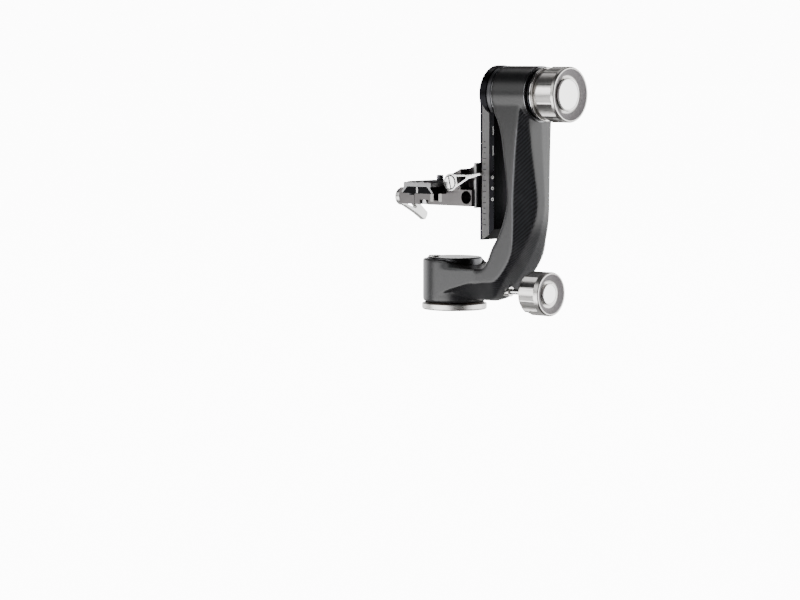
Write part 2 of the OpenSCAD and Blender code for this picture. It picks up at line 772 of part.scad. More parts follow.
module guide_pin() {
  color("silver") along_x(jaw_low_x + 6, guide_y, rod_z) cylinder(r = guide_r, h = guide_end - jaw_low_x - 6);
}

module safety_pin() {
  color("silver") translate([pin_x, -platform_half + 12, plat_z + 2.4]) rotate([90, 0, 0])
    cylinder(r = pin_r, h = 11.4);
}

// ---- Height lock ----

key_len = 32;
cam_clear = 0.4;

module slide_key() {
  head_x = rail_x + slot_lip + run;
  color("grey") union() {
    translate([head_x, -slot_wide + gap, lever_z - key_len / 2])
      cube([slot_depth - slot_lip - run - gap - cam_clear, 2 * (slot_wide - gap), key_len]);
    translate([back_x + back_t + run, -slot_half + gap, lever_z - key_len / 2])
      cube([rail_x + slot_lip - back_x - back_t + through, 2 * (slot_half - gap), key_len]);
    along_x(lever_x + cam_r + gap, 0, lever_z) cylinder(r = pull_rod_r, h = rail_x - lever_x - cam_r - gap + through);
  }
}

lever_bore_r = 3;

// A skeleton lever in its own plane, its axis at the origin and its arm along +X
module lever() {
  difference() {
    union() {
      cylinder(r = lever_r, h = lever_t);
      linear_extrude(lever_t) difference() {
        polygon([
          [0, lever_r - 0.6], [lever_len * 0.6, 3.4], [lever_len - 1.5, 2.4], [lever_len, 1], [lever_len, -1.2],
          [lever_len - 1.5, -2], [lever_len * 0.6, -2.4], [0, -lever_r + 0.6]
        ]);
        polygon([
          [lever_r + 0.4, 3.4], [lever_len * 0.52, 1.2], [lever_len * 0.52, -0.3], [lever_r + 0.4, -3.4]
        ]);
      }
    }
    translate([0, 0, -through]) cylinder(r = lever_bore_r + seat, h = lever_t + 2 * through);
  }
}

module lever_screw(head_t) {
  difference() {
    rotate_extrude() polygon([
      [0, -lever_t + gap], [lever_bore_r, -lever_t + gap], [lever_bore_r, 0], [lever_r - 2, 0],
      [lever_r - 2, head_t - 0.4], [lever_r - 2.4, head_t], [0, head_t]
    ]);
    translate([-lever_r, -0.5, head_t - 0.7]) cube([2 * lever_r, 1, 1]);
  }
}

module height_lever() {
  color("gainsboro") along_minus_y(lever_x, -platform_half - gap, lever_z)
    rotate([0, 0, lever_angle]) lever();
}

module height_lever_screw() {
  color("white") along_minus_y(lever_x, -platform_half - gap - lever_t, lever_z)
    rotate([0, 0, 105]) lever_screw(1.4);
}

module height_cam() {
  color("grey") along_minus_y(lever_x, platform_half - 4, lever_z)
    cylinder(r = cam_r, h = 2 * platform_half - 4 + gap - run);
}

// ---- Plate clamp ----

module clamp_jaw() {
  edge = 1.2;
  color("#303134") difference() {
    slab(platform_half) polygon([
      [jaw_low_x + edge, plat_z], [split_x, plat_z], [split_x, floor_z + jaw_rise],
      [split_x + jaw_undercut, jaw_top], [jaw_low_x + edge, jaw_top], [jaw_low_x, jaw_top - edge],
      [jaw_low_x, plat_z + edge]
    ]);
    along_x(jaw_low_x - through, rod_y, rod_z)
      cylinder(r = clamp_rod_r + run, h = split_x - jaw_low_x + 2 * through);
    along_x(jaw_low_x + 5, guide_y, rod_z) cylinder(r = guide_r + run, h = split_x - jaw_low_x);
  }
}

clamp_lever_x = jaw_low_x - gap;

// Places a lever's own plane on the jaw's end, facing -X
module clamp_place(x) {
  translate([x, rod_y, rod_z]) rotate([0, -90, 0]) rotate([0, 0, 90]) rotate([0, 0, 180]) children();
}

module clamp_lever() {
  color("gainsboro") clamp_place(clamp_lever_x)
    rotate([0, 0, -180 + clamp_lever_angle]) mirror([0, 1, 0]) lever();
}

module clamp_lever_screw() {
  color("white") clamp_place(clamp_lever_x - lever_t) lever_screw(1.4);
}

module clamp_rod() {
  color("silver") along_x(clamp_lever_x + run, rod_y, rod_z)
    cylinder(r = clamp_rod_r, h = rod_end - gap - clamp_lever_x - run);
}

// ---- Quick-release plate ----

screw_slot_half = 28;
camera_screw_y = 18;
plate_top = plate_low + plate_h;
pad_t = 0.6;
plate_shoulder = 5.2;
screw_head_h = 3.2;
screw_recess = 4.6;

module quick_plate() {
  lip = 1.2;
  neck = dovetail_half - (plate_shoulder - lip);
  color("#8f9092") difference() {
    slab(plate_len / 2) translate([plate_x, plate_low]) polygon([
      [-dovetail_half, 0], [dovetail_half, 0], [dovetail_half, lip], [neck, plate_shoulder],
      [plate_top_half, plate_shoulder], [plate_top_half, plate_h - 0.6], [plate_top_half - 0.6, plate_h],
      [-plate_top_half + 0.6, plate_h], [-plate_top_half, plate_h - 0.6],
      [-plate_top_half, plate_shoulder], [-neck, plate_shoulder], [-dovetail_half, lip]
    ]);
    // Slot and counterbore for the camera screws
    for (y = [-screw_slot_half, screw_slot_half]) translate([plate_x, y, plate_low - through]) {
      cylinder(r = camera_thread_r + 0.2, h = plate_h + 2 * through);
      cylinder(r = 7, h = through + screw_recess);
    }
    translate([plate_x - camera_thread_r - 0.2, -screw_slot_half, plate_low - through])
      cube([2 * camera_thread_r + 0.4, 2 * screw_slot_half, plate_h + 2 * through]);
    translate([plate_x - 7, -screw_slot_half, plate_low - through])
      cube([14, 2 * screw_slot_half, through + screw_recess]);
    stop_screw_places() translate([0, 0, -through]) cylinder(r = stop_screw_r + run, h = 3.2 + through);
  }
}

module camera_screws() {
  head_low = plate_low + screw_recess - screw_head_h;
  neck_r = camera_thread_r - 0.5;
  thread_low = plate_top - head_low + 1;
  thread_top = thread_low + 4.2;
  color("dimgrey") for (y = [-camera_screw_y, camera_screw_y]) translate([plate_x, y, head_low]) difference() {
    rotate_extrude() polygon([
      [0, 0], [6.3, 0], [6.5, 0.3], [6.5, screw_head_h], [neck_r, screw_head_h], [neck_r, thread_low],
      [camera_thread_r, thread_low], [camera_thread_r, thread_top], [camera_thread_r - 0.6, thread_top + 0.6],
      [0, thread_top + 0.6]
    ]);
    translate([0, 0, -through]) cylinder(r = 2.8, h = through + 2, $fn = 6);
  }
}

module plate_pads() {
  pad_gap = 1.2;
  pad_in = camera_thread_r + pad_gap;
  color("#222222") for (side = [-1, 1])
    translate([plate_x + side * (pad_in + plate_top_half - 1.4) / 2, 0, plate_top + pad_t / 2])
      cube([plate_top_half - 1.4 - pad_in, plate_len - 8, pad_t], center = true);
}

stop_screw_r = 1.6;
stop_screw_y = plate_len / 2 - 4;

module stop_screw_places() {
  for (side = [-1, 1]) translate([plate_x - 10, side * stop_screw_y, plate_low]) children();
}

module plate_stop_screws() {
  color("silver") stop_screw_places() difference() {
    translate([0, 0, -1.8]) {
      cylinder(r = stop_screw_r, h = 4.8);
      cylinder(r = stop_screw_r + 1, h = 1.7);
    }
    translate([0, 0, -2.8]) cylinder(r = 1, h = 2, $fn = 6);
  }
}

base_disc();
thread_bush();
pan_spindle();
base_screws();
thrust_washer();
pan_washer();
pan_nut();
arm_shell();
pan_housing();
pan_bearing_lower();
pan_bearing_upper();
base_cap();
level_ring();
level_lens();
lock_bush();
tilt_housing();
tilt_bearing_inner();
tilt_bearing_outer();
drum_end_ring();
brake_pad();
pan_knob();
pan_knob_face();
pan_lock_shaft();
tilt_shaft();
hub_disc();
swing_rail();
hub_screws();
rail_side_screws();
tilt_thrust_washer();
tilt_knob();
tilt_knob_flange();
tilt_knob_face();
platform_bar();
platform_back();
platform_screws();
guide_pin();
safety_pin();
slide_key();
height_lever();
height_cam();
height_lever_screw();
clamp_jaw();
clamp_lever();
clamp_rod();
clamp_lever_screw();
quick_plate();
camera_screws();
plate_pads();
plate_stop_screws();
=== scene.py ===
"""Dresses a gimbal tripod head: a J-shaped carbon arm, a swing rail, a platform and two fluted knobs."""

import math

import bmesh
import bpy
import numpy as np
from mathutils import Matrix, Vector


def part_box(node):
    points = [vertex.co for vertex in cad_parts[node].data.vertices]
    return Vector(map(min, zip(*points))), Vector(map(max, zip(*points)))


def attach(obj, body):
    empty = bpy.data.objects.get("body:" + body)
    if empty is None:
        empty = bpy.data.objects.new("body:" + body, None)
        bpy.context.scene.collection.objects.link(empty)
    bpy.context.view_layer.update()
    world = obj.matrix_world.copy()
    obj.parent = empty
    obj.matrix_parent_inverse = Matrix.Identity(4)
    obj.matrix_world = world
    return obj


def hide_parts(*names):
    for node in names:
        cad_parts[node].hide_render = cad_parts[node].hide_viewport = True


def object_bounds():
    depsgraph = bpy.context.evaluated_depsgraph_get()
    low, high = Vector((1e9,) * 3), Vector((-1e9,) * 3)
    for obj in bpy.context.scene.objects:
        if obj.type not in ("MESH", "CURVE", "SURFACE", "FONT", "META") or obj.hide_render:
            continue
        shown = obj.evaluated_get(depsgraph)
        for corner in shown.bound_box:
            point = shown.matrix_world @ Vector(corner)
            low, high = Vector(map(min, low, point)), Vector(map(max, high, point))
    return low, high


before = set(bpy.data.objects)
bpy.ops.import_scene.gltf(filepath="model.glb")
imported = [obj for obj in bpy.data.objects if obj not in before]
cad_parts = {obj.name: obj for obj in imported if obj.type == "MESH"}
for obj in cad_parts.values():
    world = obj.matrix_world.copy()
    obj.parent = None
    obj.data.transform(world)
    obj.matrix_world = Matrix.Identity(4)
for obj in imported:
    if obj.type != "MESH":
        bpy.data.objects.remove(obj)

bl_info = {
    "name": "Gimbal Tripod Head",
    "version": (1, 0, 0),
    "blender": (4, 5, 0),
    "location": "View3D > Sidebar > Gimbal Head",
    "description": "Dresses a packed gimbal head with its finishes, edges, scale, level and studio",
    "category": "Object",
}

MM = 0.001
ALONG_X = Vector((1, 0, 0))
ALONG_Z = Vector((0, 0, 1))
INLAY = 0.04 * MM  # how deep the index line and the painted highlight strips are let into the plate's ends
SUNK = 0.7 * MM  # how far the heads of the lever screws are set back from the CAD's
cad_low, cad_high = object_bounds()


# ---- Places that the frame gives ----

def middle(node):
    """The middle of a CAD node's box."""
    low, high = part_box(node)
    return (low + high) / 2


pan_axis = Vector((0, 0, 0))
tilt_axis = middle("tilt_shaft")
pan_lock_axis = middle("pan_knob")


# ---- Settings ----

class FinishSettings(bpy.types.PropertyGroup):
    """Colours and sizes of the head's finishes"""
    lacquer: bpy.props.StringProperty(
        name="Lacquer", description="Colour of the arm's smooth lacquered faces", default="#1b1b1d")
    tow_dark: bpy.props.StringProperty(
        name="Dark tow", description="Colour of the tows that lie across the light", default="#040405")
    tow_light: bpy.props.StringProperty(
        name="Light tow", description="Colour of the tows that catch the light", default="#26262b")
    tow_width: bpy.props.FloatProperty(
        name="Tow width", description="Width of one carbon tow", default=1.0 * MM, unit="LENGTH")
    black: bpy.props.StringProperty(
        name="Black anodising", description="Colour of the black anodised parts", default="#4c4c4e")
    silver: bpy.props.StringProperty(
        name="Silver aluminium", description="Colour of the turned aluminium parts", default="#dcdad7")
    grey: bpy.props.StringProperty(
        name="Grey anodising", description="Colour of the plate's flange", default="#8c8c8d")
    edge: bpy.props.FloatProperty(
        name="Edge break", description="Width of a machined edge", default=0.3 * MM, unit="LENGTH")
    tick_step: bpy.props.FloatProperty(
        name="Tick step", description="Spacing of the rail's graduation", default=5 * MM, unit="LENGTH")


class StudioSettings(bpy.types.PropertyGroup):
    """Light, floor and camera"""
    floor: bpy.props.StringProperty(
        name="Floor", description="Colour of the floor", default="#f2f2f2")
    left_light: bpy.props.FloatProperty(
        name="Left light", description="Power of the light low on the left", default=31.0, unit="POWER")
    right_light: bpy.props.FloatProperty(
        name="Right light", description="Power of the soft light on the right", default=24.0, unit="POWER")
    upper_light: bpy.props.FloatProperty(
        name="Upper light", description="Power of the light high on the left", default=8.0, unit="POWER")
    top_light: bpy.props.FloatProperty(
        name="Top light", description="Power of the light over the far side", default=4.0, unit="POWER")
    backdrop: bpy.props.FloatProperty(
        name="Backdrop", description="Brightness of the white backdrop behind the head", default=3.0)
    room: bpy.props.FloatProperty(
        name="Room", description="Brightness of the room on the camera's side", default=0.03)
    floor_bounce: bpy.props.FloatProperty(
        name="Floor bounce", description="Light that the floor gives back to the head", default=0.25)
    glow: bpy.props.FloatProperty(
        name="Glow", description="Brightness of backdrop and floor to the camera", default=12.0)
    lens: bpy.props.FloatProperty(
        name="Lens", description="Focal length of the camera", default=135.0)


def settings():
    """The head's finish settings in this file."""
    return bpy.context.scene.gimbal_finish


# ---- Colours and nodes ----

def colour(text):
    """An sRGB hex colour as linear red, green, blue and alpha."""
    channels = [int(text[i:i + 2], 16) / 255 for i in (1, 3, 5)]
    linear = [c / 12.92 if c <= 0.04045 else ((c + 0.055) / 1.055) ** 2.4 for c in channels]
    return (*linear, 1.0)


def tint(text, share):
    """A hex colour made lighter or darker by a share."""
    channels = [min(255, max(0, round(int(text[i:i + 2], 16) * share))) for i in (1, 3, 5)]
    return "#" + "".join(f"{c:02x}" for c in channels)


def feed(tree, node, inputs):
    """Sets a node's inputs to values, or links them to sockets or to other nodes' first outputs."""
    for key, value in inputs.items():
        if isinstance(value, bpy.types.Node):
            value = next(socket for socket in value.outputs if socket.enabled)
        if isinstance(value, bpy.types.NodeSocket):
            tree.links.new(value, node.inputs[key])
        else:
            node.inputs[key].default_value = value


def add_node(tree, kind, inputs=None, **choices):
    """Adds a shader node with its choices set and its inputs fed."""
    node = tree.nodes.new("ShaderNode" + kind)
    for name, value in choices.items():
        setattr(node, name, value)
    feed(tree, node, inputs or {})
    return node


def new_finish(name):
    """A material, its tree, its shader and the shaded point's place on the part in metres."""
    material = bpy.data.materials.new(name)
    material.use_nodes = True
    tree = material.node_tree
    return material, tree, tree.nodes["Principled BSDF"], add_node(tree, "TexCoord").outputs["Object"]


def clouds(tree, place, size, low, high):
    """A colour that drifts between two hex colours, in clouds of a real size in metres."""
    noise = add_node(tree, "TexNoise", {"Vector": place, "Scale": 1 / size, "Detail": 3.0})
    return add_node(tree, "Mix", {"Factor": noise, "A": colour(low), "B": colour(high)}, data_type="RGBA")


# ---- Finishes ----

def worked_metal(tree, shader, base, grain, low, high, depth):
    """A metal whose fine grain gives it a roughness from low to high, and a relief of a real depth."""
    roughness = add_node(tree, "MapRange", {"Value": grain, "To Min": low, "To Max": high})
    relief = add_node(tree, "Bump", {"Height": grain, "Distance": depth})
    feed(tree, shader, {"Metallic": 1.0, "Base Color": base, "Roughness": roughness, "Normal": relief})


def blasted_metal(name, shade, roughness=0.36):
    """Bead-blasted and dyed aluminium: a fine soft sparkle, dark where the room is dark."""
    bead_width = 0.35 * MM
    material, tree, shader, place = new_finish(name)
    bead = add_node(tree, "TexNoise", {"Vector": place, "Scale": 1 / bead_width, "Detail": 1.0})
    base = clouds(tree, place, 9 * MM, tint(shade, 0.92), tint(shade, 1.06))
    worked_metal(tree, shader, base, bead, roughness - 0.05, roughness + 0.07, 0.012 * MM)
    return material


def milled_metal(name, shade):
    """Milled aluminium, mostly dyed black: faint straight tool lines along the part's width."""
    line_width = 0.9 * MM
    material, tree, shader, place = new_finish(name)
    drawn_out = add_node(tree, "Mapping", {"Vector": place, "Scale": (0.12, 1.0, 1.6)})
    lines = add_node(tree, "TexNoise", {"Vector": drawn_out, "Scale": 1 / line_width, "Detail": 2.0})
    base = clouds(tree, place, 12 * MM, tint(shade, 0.94), tint(shade, 1.08))
    worked_metal(tree, shader, base, lines, 0.27, 0.4, 0.012 * MM)
    return material


def turned_metal(name, shade, centre, axis, roughness=0.2, ring=0.5 * MM, darkest=0.9):
    """Turned metal: fine rings round the axis of the lathe, drawn wide enough to show."""
    material, tree, shader, place = new_finish(name)
    off_axis = Vector((1, 1, 1)) - axis
    flat = add_node(tree, "Mapping", {"Vector": place, "Location": -centre * off_axis, "Scale": off_axis})
    radius = add_node(tree, "VectorMath", {0: flat}, operation="LENGTH")
    along = add_node(tree, "VectorMath", {0: place, 1: axis}, operation="DOT_PRODUCT")
    path = add_node(tree, "CombineXYZ", {"X": radius, "Y": along})
    rings = add_node(tree, "TexNoise", {"Vector": path, "Scale": 1 / ring, "Detail": 2.0})
    base = clouds(tree, place, 6 * MM, tint(shade, darkest), shade)
    worked_metal(tree, shader, base, rings, roughness - 0.05, roughness + 0.08, 0.003 * MM)
    return material


def plated_metal(name, shade, roughness=0.25):
    """Ground or plated metal: an even sheen with a little cloud in it."""
    grain_width = 1.2 * MM
    material, tree, shader, place = new_finish(name)
    fine = add_node(tree, "TexNoise", {"Vector": place, "Scale": 1 / grain_width, "Detail": 2.0})
    base = clouds(tree, place, 5 * MM, tint(shade, 0.9), shade)
    worked_metal(tree, shader, base, fine, roughness - 0.05, roughness + 0.07, 0.006 * MM)
    return material


def twill(tree, tow):
    """2x2 twill on the UV map: 1 where a tow along the arm is on top, and a point's height on its tow."""
    uv = add_node(tree, "UVMap", uv_map="weave")
    split = add_node(tree, "SeparateXYZ", {0: uv})
    along = add_node(tree, "Math", {0: split.outputs["X"], 1: tow}, operation="DIVIDE")
    across = add_node(tree, "Math", {0: split.outputs["Y"], 1: tow}, operation="DIVIDE")
    columns = add_node(tree, "Math", {0: along}, operation="FLOOR")
    rows = add_node(tree, "Math", {0: across}, operation="FLOOR")
    step = add_node(tree, "Math", {0: columns, 1: rows}, operation="SUBTRACT")
    turn = add_node(tree, "Math", {0: step, 1: 4.0}, operation="FLOORED_MODULO")
    over = add_node(tree, "Math", {0: turn, 1: 1.5}, operation="LESS_THAN")
    column_crown = add_node(tree, "Math", {0: along, 1: 0.5}, operation="PINGPONG")
    row_crown = add_node(tree, "Math", {0: across, 1: 0.5}, operation="PINGPONG")
    crown = add_node(tree, "Mix", {"Factor": over, "A": column_crown, "B": row_crown})
    return over, crown


def lacquered_carbon():
    """2x2 twill carbon under satin lacquer: a soft deep gloss, with cloth where weave_show is above 0."""
    chosen = settings()
    material, tree, shader, place = new_finish("Carbon_twill_satin_lacquer")
    shown = add_node(tree, "Attribute", attribute_name="weave_show").outputs["Fac"]
    crease_highlight_share = add_node(tree, "Attribute", attribute_name="crease_painted_highlight").outputs["Fac"]
    height = add_node(tree, "SeparateXYZ", {0: place}).outputs["Z"]
    # Painted shade: the lacquer is painted darker toward the top of the arm, from 90 mm to 15 mm below the
    # tilt axis.
    upper = add_node(tree, "MapRange", {
        "Value": height, "From Min": tilt_axis.z - 90 * MM, "From Max": tilt_axis.z - 15 * MM})
    over, crown = twill(tree, chosen.tow_width)
    lit_crown = add_node(tree, "MapRange", {"Value": crown, "To Min": 0.75, "To Max": 1.2})
    light = add_node(tree, "Math", {0: over, 1: lit_crown}, operation="MULTIPLY")
    cloth = add_node(tree, "Mix", {
        "Factor": light, "A": colour(chosen.tow_dark), "B": colour(chosen.tow_light)}, data_type="RGBA")
    base = clouds(tree, place, 14 * MM, tint(chosen.lacquer, 0.95), tint(chosen.lacquer, 1.05))
    # Layered over the lacquer: the painted shade at the top, the cloth, and a painted highlight (#626266)
    # along the creases.
    layers = ((upper, colour(tint(chosen.lacquer, 0.45))), (shown, cloth), (crease_highlight_share, colour("#626266")))
    for share, layer in layers:
        base = add_node(tree, "Mix", {"Factor": share, "A": base, "B": layer}, data_type="RGBA")
    dust = add_node(tree, "TexNoise", {"Vector": place, "Scale": 1 / (0.6 * MM), "Detail": 1.0})
    roughness = add_node(tree, "MapRange", {"Value": dust, "To Min": 0.3, "To Max": 0.4})
    ridges = add_node(tree, "Math", {0: crown, 1: shown}, operation="MULTIPLY")
    relief = add_node(tree, "Bump", {"Height": ridges, "Distance": 0.12 * MM})
    feed(tree, shader, {
        "Base Color": base, "Roughness": roughness, "IOR": 1.5, "Normal": relief,
        "Specular IOR Level": 0.42, "Coat Weight": 0.15, "Coat Roughness": 0.32})
    return material


def moulded_rubber():
    """Moulded rubber: matt, near black, with fine ribs across the plate."""
    rib_step = 1.6 * MM
    material, tree, shader, place = new_finish("Rubber_ribbed")
    y = add_node(tree, "SeparateXYZ", {0: place}).outputs["Y"]
    count = add_node(tree, "Math", {0: y, 1: rib_step}, operation="DIVIDE")
    ribs = add_node(tree, "Math", {0: count, 1: 0.5}, operation="PINGPONG")
    relief = add_node(tree, "Bump", {"Height": ribs, "Distance": 0.25 * MM})
    base = clouds(tree, place, 0.5 * MM, "#17171a", "#27272a")
    feed(tree, shader, {"Base Color": base, "Roughness": 0.75, "IOR": 1.5, "Normal": relief})
    return material


def level_liquid():
    """Clear acrylic over yellow-green spirit: glossy, with the liquid's colour showing through."""
    material, tree, shader, place = new_finish("Acrylic_level")
    base = clouds(tree, place, 4 * MM, "#b5cf3a", "#c8df52")
    feed(tree, shader, {"Base Color": base, "Roughness": 0.05, "IOR": 1.49, "Coat Weight": 1.0})
    return material


def matt_finish(name, shade):
    """A matt face, such as filled engraving, a satin bevel or a blasted recess: even, without a gleam."""
    material, tree, shader, place = new_finish(name)
    base = clouds(tree, place, 0.8 * MM, tint(shade, 0.93), shade)
    feed(tree, shader, {"Base Color": base, "Roughness": 0.5, "IOR": 1.5})
    return material


# ---- Shapes ----

def cad_shape(node, join_flat=True):
    """A bmesh of a CAD node, its loose triangles merged and, where asked, its flat faces joined."""
    shape = bmesh.new()
    shape.from_mesh(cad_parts[node].data)
    bmesh.ops.remove_doubles(shape, verts=shape.verts, dist=0.002 * MM)
    if join_flat:
        bmesh.ops.dissolve_limit(
            shape, angle_limit=math.radians(0.3), use_dissolve_boundaries=False,
            verts=shape.verts, edges=shape.edges)
    return shape


def break_edges(shape, width, angle=32):
    """Rounds each edge that is sharper than an angle in degrees."""
    limit = math.radians(angle)
    sharp = [e for e in shape.edges if len(e.link_faces) == 2 and e.calc_face_angle() > limit]
    bmesh.ops.bevel(
        shape, geom=sharp, offset=width, offset_type="OFFSET", segments=2, profile=0.5,
        affect="EDGES", clamp_overlap=False, material=-1)


def verts_in(made):
    """The vertices that a bmesh operator says it made."""
    return [part for part in made["geom"] if isinstance(part, bmesh.types.BMVert)]


def add_block(shape, size, place, turn=Matrix.Identity(3)):
    """Adds a block of a size to a bmesh, turned about its middle and then put in its place."""
    made = bmesh.ops.create_cube(shape, size=1.0)["verts"]
    bmesh.ops.scale(shape, vec=size, verts=made)
    bmesh.ops.rotate(shape, cent=(0, 0, 0), matrix=turn, verts=made)
    bmesh.ops.translate(shape, vec=place, verts=made)


def flat_ring(outer, inner, thickness, segments=64):
    """A thin flat ring round the Z axis."""
    ring = bmesh.new()
    bmesh.ops.create_circle(ring, cap_ends=False, segments=segments, radius=outer)
    made = bmesh.ops.extrude_edge_only(ring, edges=ring.edges[:])
    bmesh.ops.scale(ring, vec=(inner / outer, inner / outer, 1), verts=verts_in(made))
    bmesh.ops.solidify(ring, geom=ring.faces[:], thickness=thickness)
    bmesh.ops.recalc_face_normals(ring, faces=ring.faces)
    return ring


def spun(profile, axis, steps=144):
    """Spins a profile of X and radius round an axis along X."""
    shape = bmesh.new()
    verts = [shape.verts.new((x, 0, r)) for x, r in profile]
    edges = [shape.edges.new(pair) for pair in zip(verts, verts[1:])]
    bmesh.ops.spin(
        shape, geom=verts + edges, cent=(0, 0, 0), axis=ALONG_X, angle=2 * math.pi, steps=steps,
        use_merge=True)
    bmesh.ops.remove_doubles(shape, verts=shape.verts, dist=0.001 * MM)
    bmesh.ops.translate(shape, vec=(0, axis.y, axis.z), verts=shape.verts)
    bmesh.ops.recalc_face_normals(shape, faces=shape.faces)
    return shape


def add_object(name, data):
    """Puts a mesh, a light or a camera into the scene."""
    added = bpy.data.objects.new(name, data)
    bpy.context.scene.collection.objects.link(added)
    return added


def add_shape(name, shape):
    """Turns a bmesh into an object of the scene."""
    mesh = bpy.data.meshes.new(name)
    shape.to_mesh(mesh)
    shape.free()
    return add_object(name, mesh)


def make_piece(shape, name, body, materials, nodes=(), flat_faces=False):
    """Turns a bmesh into a piece that rides on a body and stands for CAD nodes.

    With flat_faces, its flat faces are shaded flat beside their rounded edges.
    """
    shape.normal_update()
    piece = add_shape(name, shape)
    mesh = piece.data
    mesh.polygons.foreach_set("use_smooth", [True] * len(mesh.polygons))
    mesh.set_sharp_from_angle(angle=math.radians(42))
    for material in materials:
        mesh.materials.append(material)
    if flat_faces:
        even = piece.modifiers.new("even_normals", "WEIGHTED_NORMAL")
        even.keep_sharp = True
        even.weight = 70
    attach(piece, body)
    if nodes:
        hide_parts(*nodes)


def machined(node, body, material, edge=None, angle=32):
    """A piece with the shape of a CAD node and broken edges."""
    shape = cad_shape(node)
    break_edges(shape, settings().edge if edge is None else edge, angle)
    make_piece(shape, node + "_piece", body, [material], [node], flat_faces=True)


def paint(material, *nodes):
    """Gives CAD nodes that keep their own shape a finish."""
    for node in nodes:
        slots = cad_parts[node].data.materials
        slots.clear()
        slots.append(material)


# ---- The arm ----

def ramp(values, start, end):
    """Goes smoothly from 0 at the start to 1 at the end."""
    share = np.clip((values - start) / (end - start), 0, 1)
    return share * share * (3 - 2 * share)


def weave_places(places):
    """Length along the arm and distance across it, in metres, for the cloth that wraps it."""
    bend_x, bend_z = tilt_axis.x - 42 * MM, tilt_axis.z - 124 * MM  # the middle of the elbow's bend
    bend_r = 55 * MM
    flat_half = 13 * MM
    x, y, z = places.T
    low = z < bend_z
    angle = np.where(low, np.arctan2(x - bend_x, bend_z - z), math.pi / 2)
    along = bend_r * angle + np.where(low, 0.0, z - bend_z)
    width = np.abs(y)
    slant = np.maximum(width - flat_half, 0) * math.sqrt(2)
    return along, np.sign(y) * (np.minimum(width, flat_half) + slant)


def weave_shown(places, normals):
    """1 where the cloth shows through the lacquer, on the chamfers and round the elbow, and 0 elsewhere.

    Its places are millimetres below the tilt axis (drop) and toward the pan axis (inset).
    """
    x, _, z = places.T
    outward = ramp(normals[:, 0], 0.12, 0.3)
    sideways = np.abs(normals[:, 1])
    drop, inset = (tilt_axis.z - z) / MM, (tilt_axis.x - x) / MM
    smooth_back = ramp(sideways, 0.4, 0.25) * ramp(drop, 138, 118)
    below_drum = ramp(drop, 11, 15)
    above_bar = ramp(drop, 186, 176)
    past_bar = ramp(inset, 42, 30)
    off_side = ramp(sideways, 0.97, 0.9)
    return outward * off_side * below_drum * (1 - smooth_back) * above_bar * past_bar


def painted_crease_highlight(places, normals):
    """1 along the creases between the side faces and the chamfers, where the lacquer gets a painted
    highlight, and 0 elsewhere.
    """
    outward = ramp(normals[:, 0], 0.08, 0.18)
    sideways = np.abs(normals[:, 1])
    drop = (tilt_axis.z - places[:, 2]) / MM
    between = ramp(sideways, 0.82, 0.89) * ramp(sideways, 0.992, 0.96)
    return between * outward * ramp(drop, 150, 120) * ramp(drop, 20, 38)


def flow_into_bar(places, normals):
    """Lets the lower drum's wall run straight on into the bar's side faces."""
    start, end = 3.5 * MM, 45 * MM
    narrowest = 20 * MM
    bar_half, wall_slope = 24 * MM, 0.1205
    crease_start, crease_slope = 13 * MM, 0.33
    top, top_ease = 45 * MM, 7 * MM
    x, y, z = places.T
    width = np.abs(y)
    wall = bar_half + (end - x) * wall_slope
    crease = crease_start + crease_slope * x
    share = ramp(z, crease - 1 * MM, crease + 2 * MM) * ramp(z, top, top - top_ease)
    on_side = (start < x) & (x < end) & (normals[:, 1] * np.sign(y) > 0.35)
    moved = on_side & (narrowest < width) & (width < wall)
    places[:, 1] += np.where(moved, np.sign(y) * (wall - width) * share, 0)


def moulded_shape(node, voxel, rounds):
    """A bmesh of a CAD node, remeshed and smoothed so that its forms flow into each other."""
    blank = add_shape(node + "_blank", cad_shape(node, join_flat=False))
    remesh = blank.modifiers.new("voxels", "REMESH")
    remesh.mode = "VOXEL"
    remesh.voxel_size = voxel
    remeshed = blank.evaluated_get(bpy.context.evaluated_depsgraph_get())
    shape = bmesh.new()
    shape.from_mesh(remeshed.to_mesh())
    bpy.data.objects.remove(blank)
    for _ in range(rounds):
        bmesh.ops.smooth_vert(
            shape, verts=shape.verts, factor=0.5, use_axis_x=True, use_axis_y=True, use_axis_z=True)
    return shape


def surface(shape):
    """The places and the normals of a bmesh's vertices, as two arrays."""
    return np.array([v.co for v in shape.verts]), np.array([v.normal for v in shape.verts])


def build_arm():
    """The moulded arm, with what its finish reads: the cloth's map, where it shows, and a painted highlight
    along the creases.
    """
    shape = moulded_shape("arm_shell", voxel=0.95 * MM, rounds=5)
    places, normals = surface(shape)
    flow_into_bar(places, normals)
    places = np.clip(places, *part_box("arm_shell"))
    for vertex, place in zip(shape.verts, places):
        vertex.co = place
    shape.normal_update()
    places, normals = surface(shape)
    warp, weft = weave_places(places)
    shown = weave_shown(places, normals)
    lit = painted_crease_highlight(places, normals)
    layer = shape.loops.layers.uv.new("weave")
    show = shape.verts.layers.float.new("weave_show")
    crease = shape.verts.layers.float.new("crease_painted_highlight")
    for i, vertex in enumerate(shape.verts):
        vertex[show] = shown[i]
        vertex[crease] = lit[i]
        for loop in vertex.link_loops:
            loop[layer].uv = (warp[i], weft[i])
    make_piece(shape, "carbon_arm_piece", "yoke", [lacquered_carbon()], ["arm_shell"])


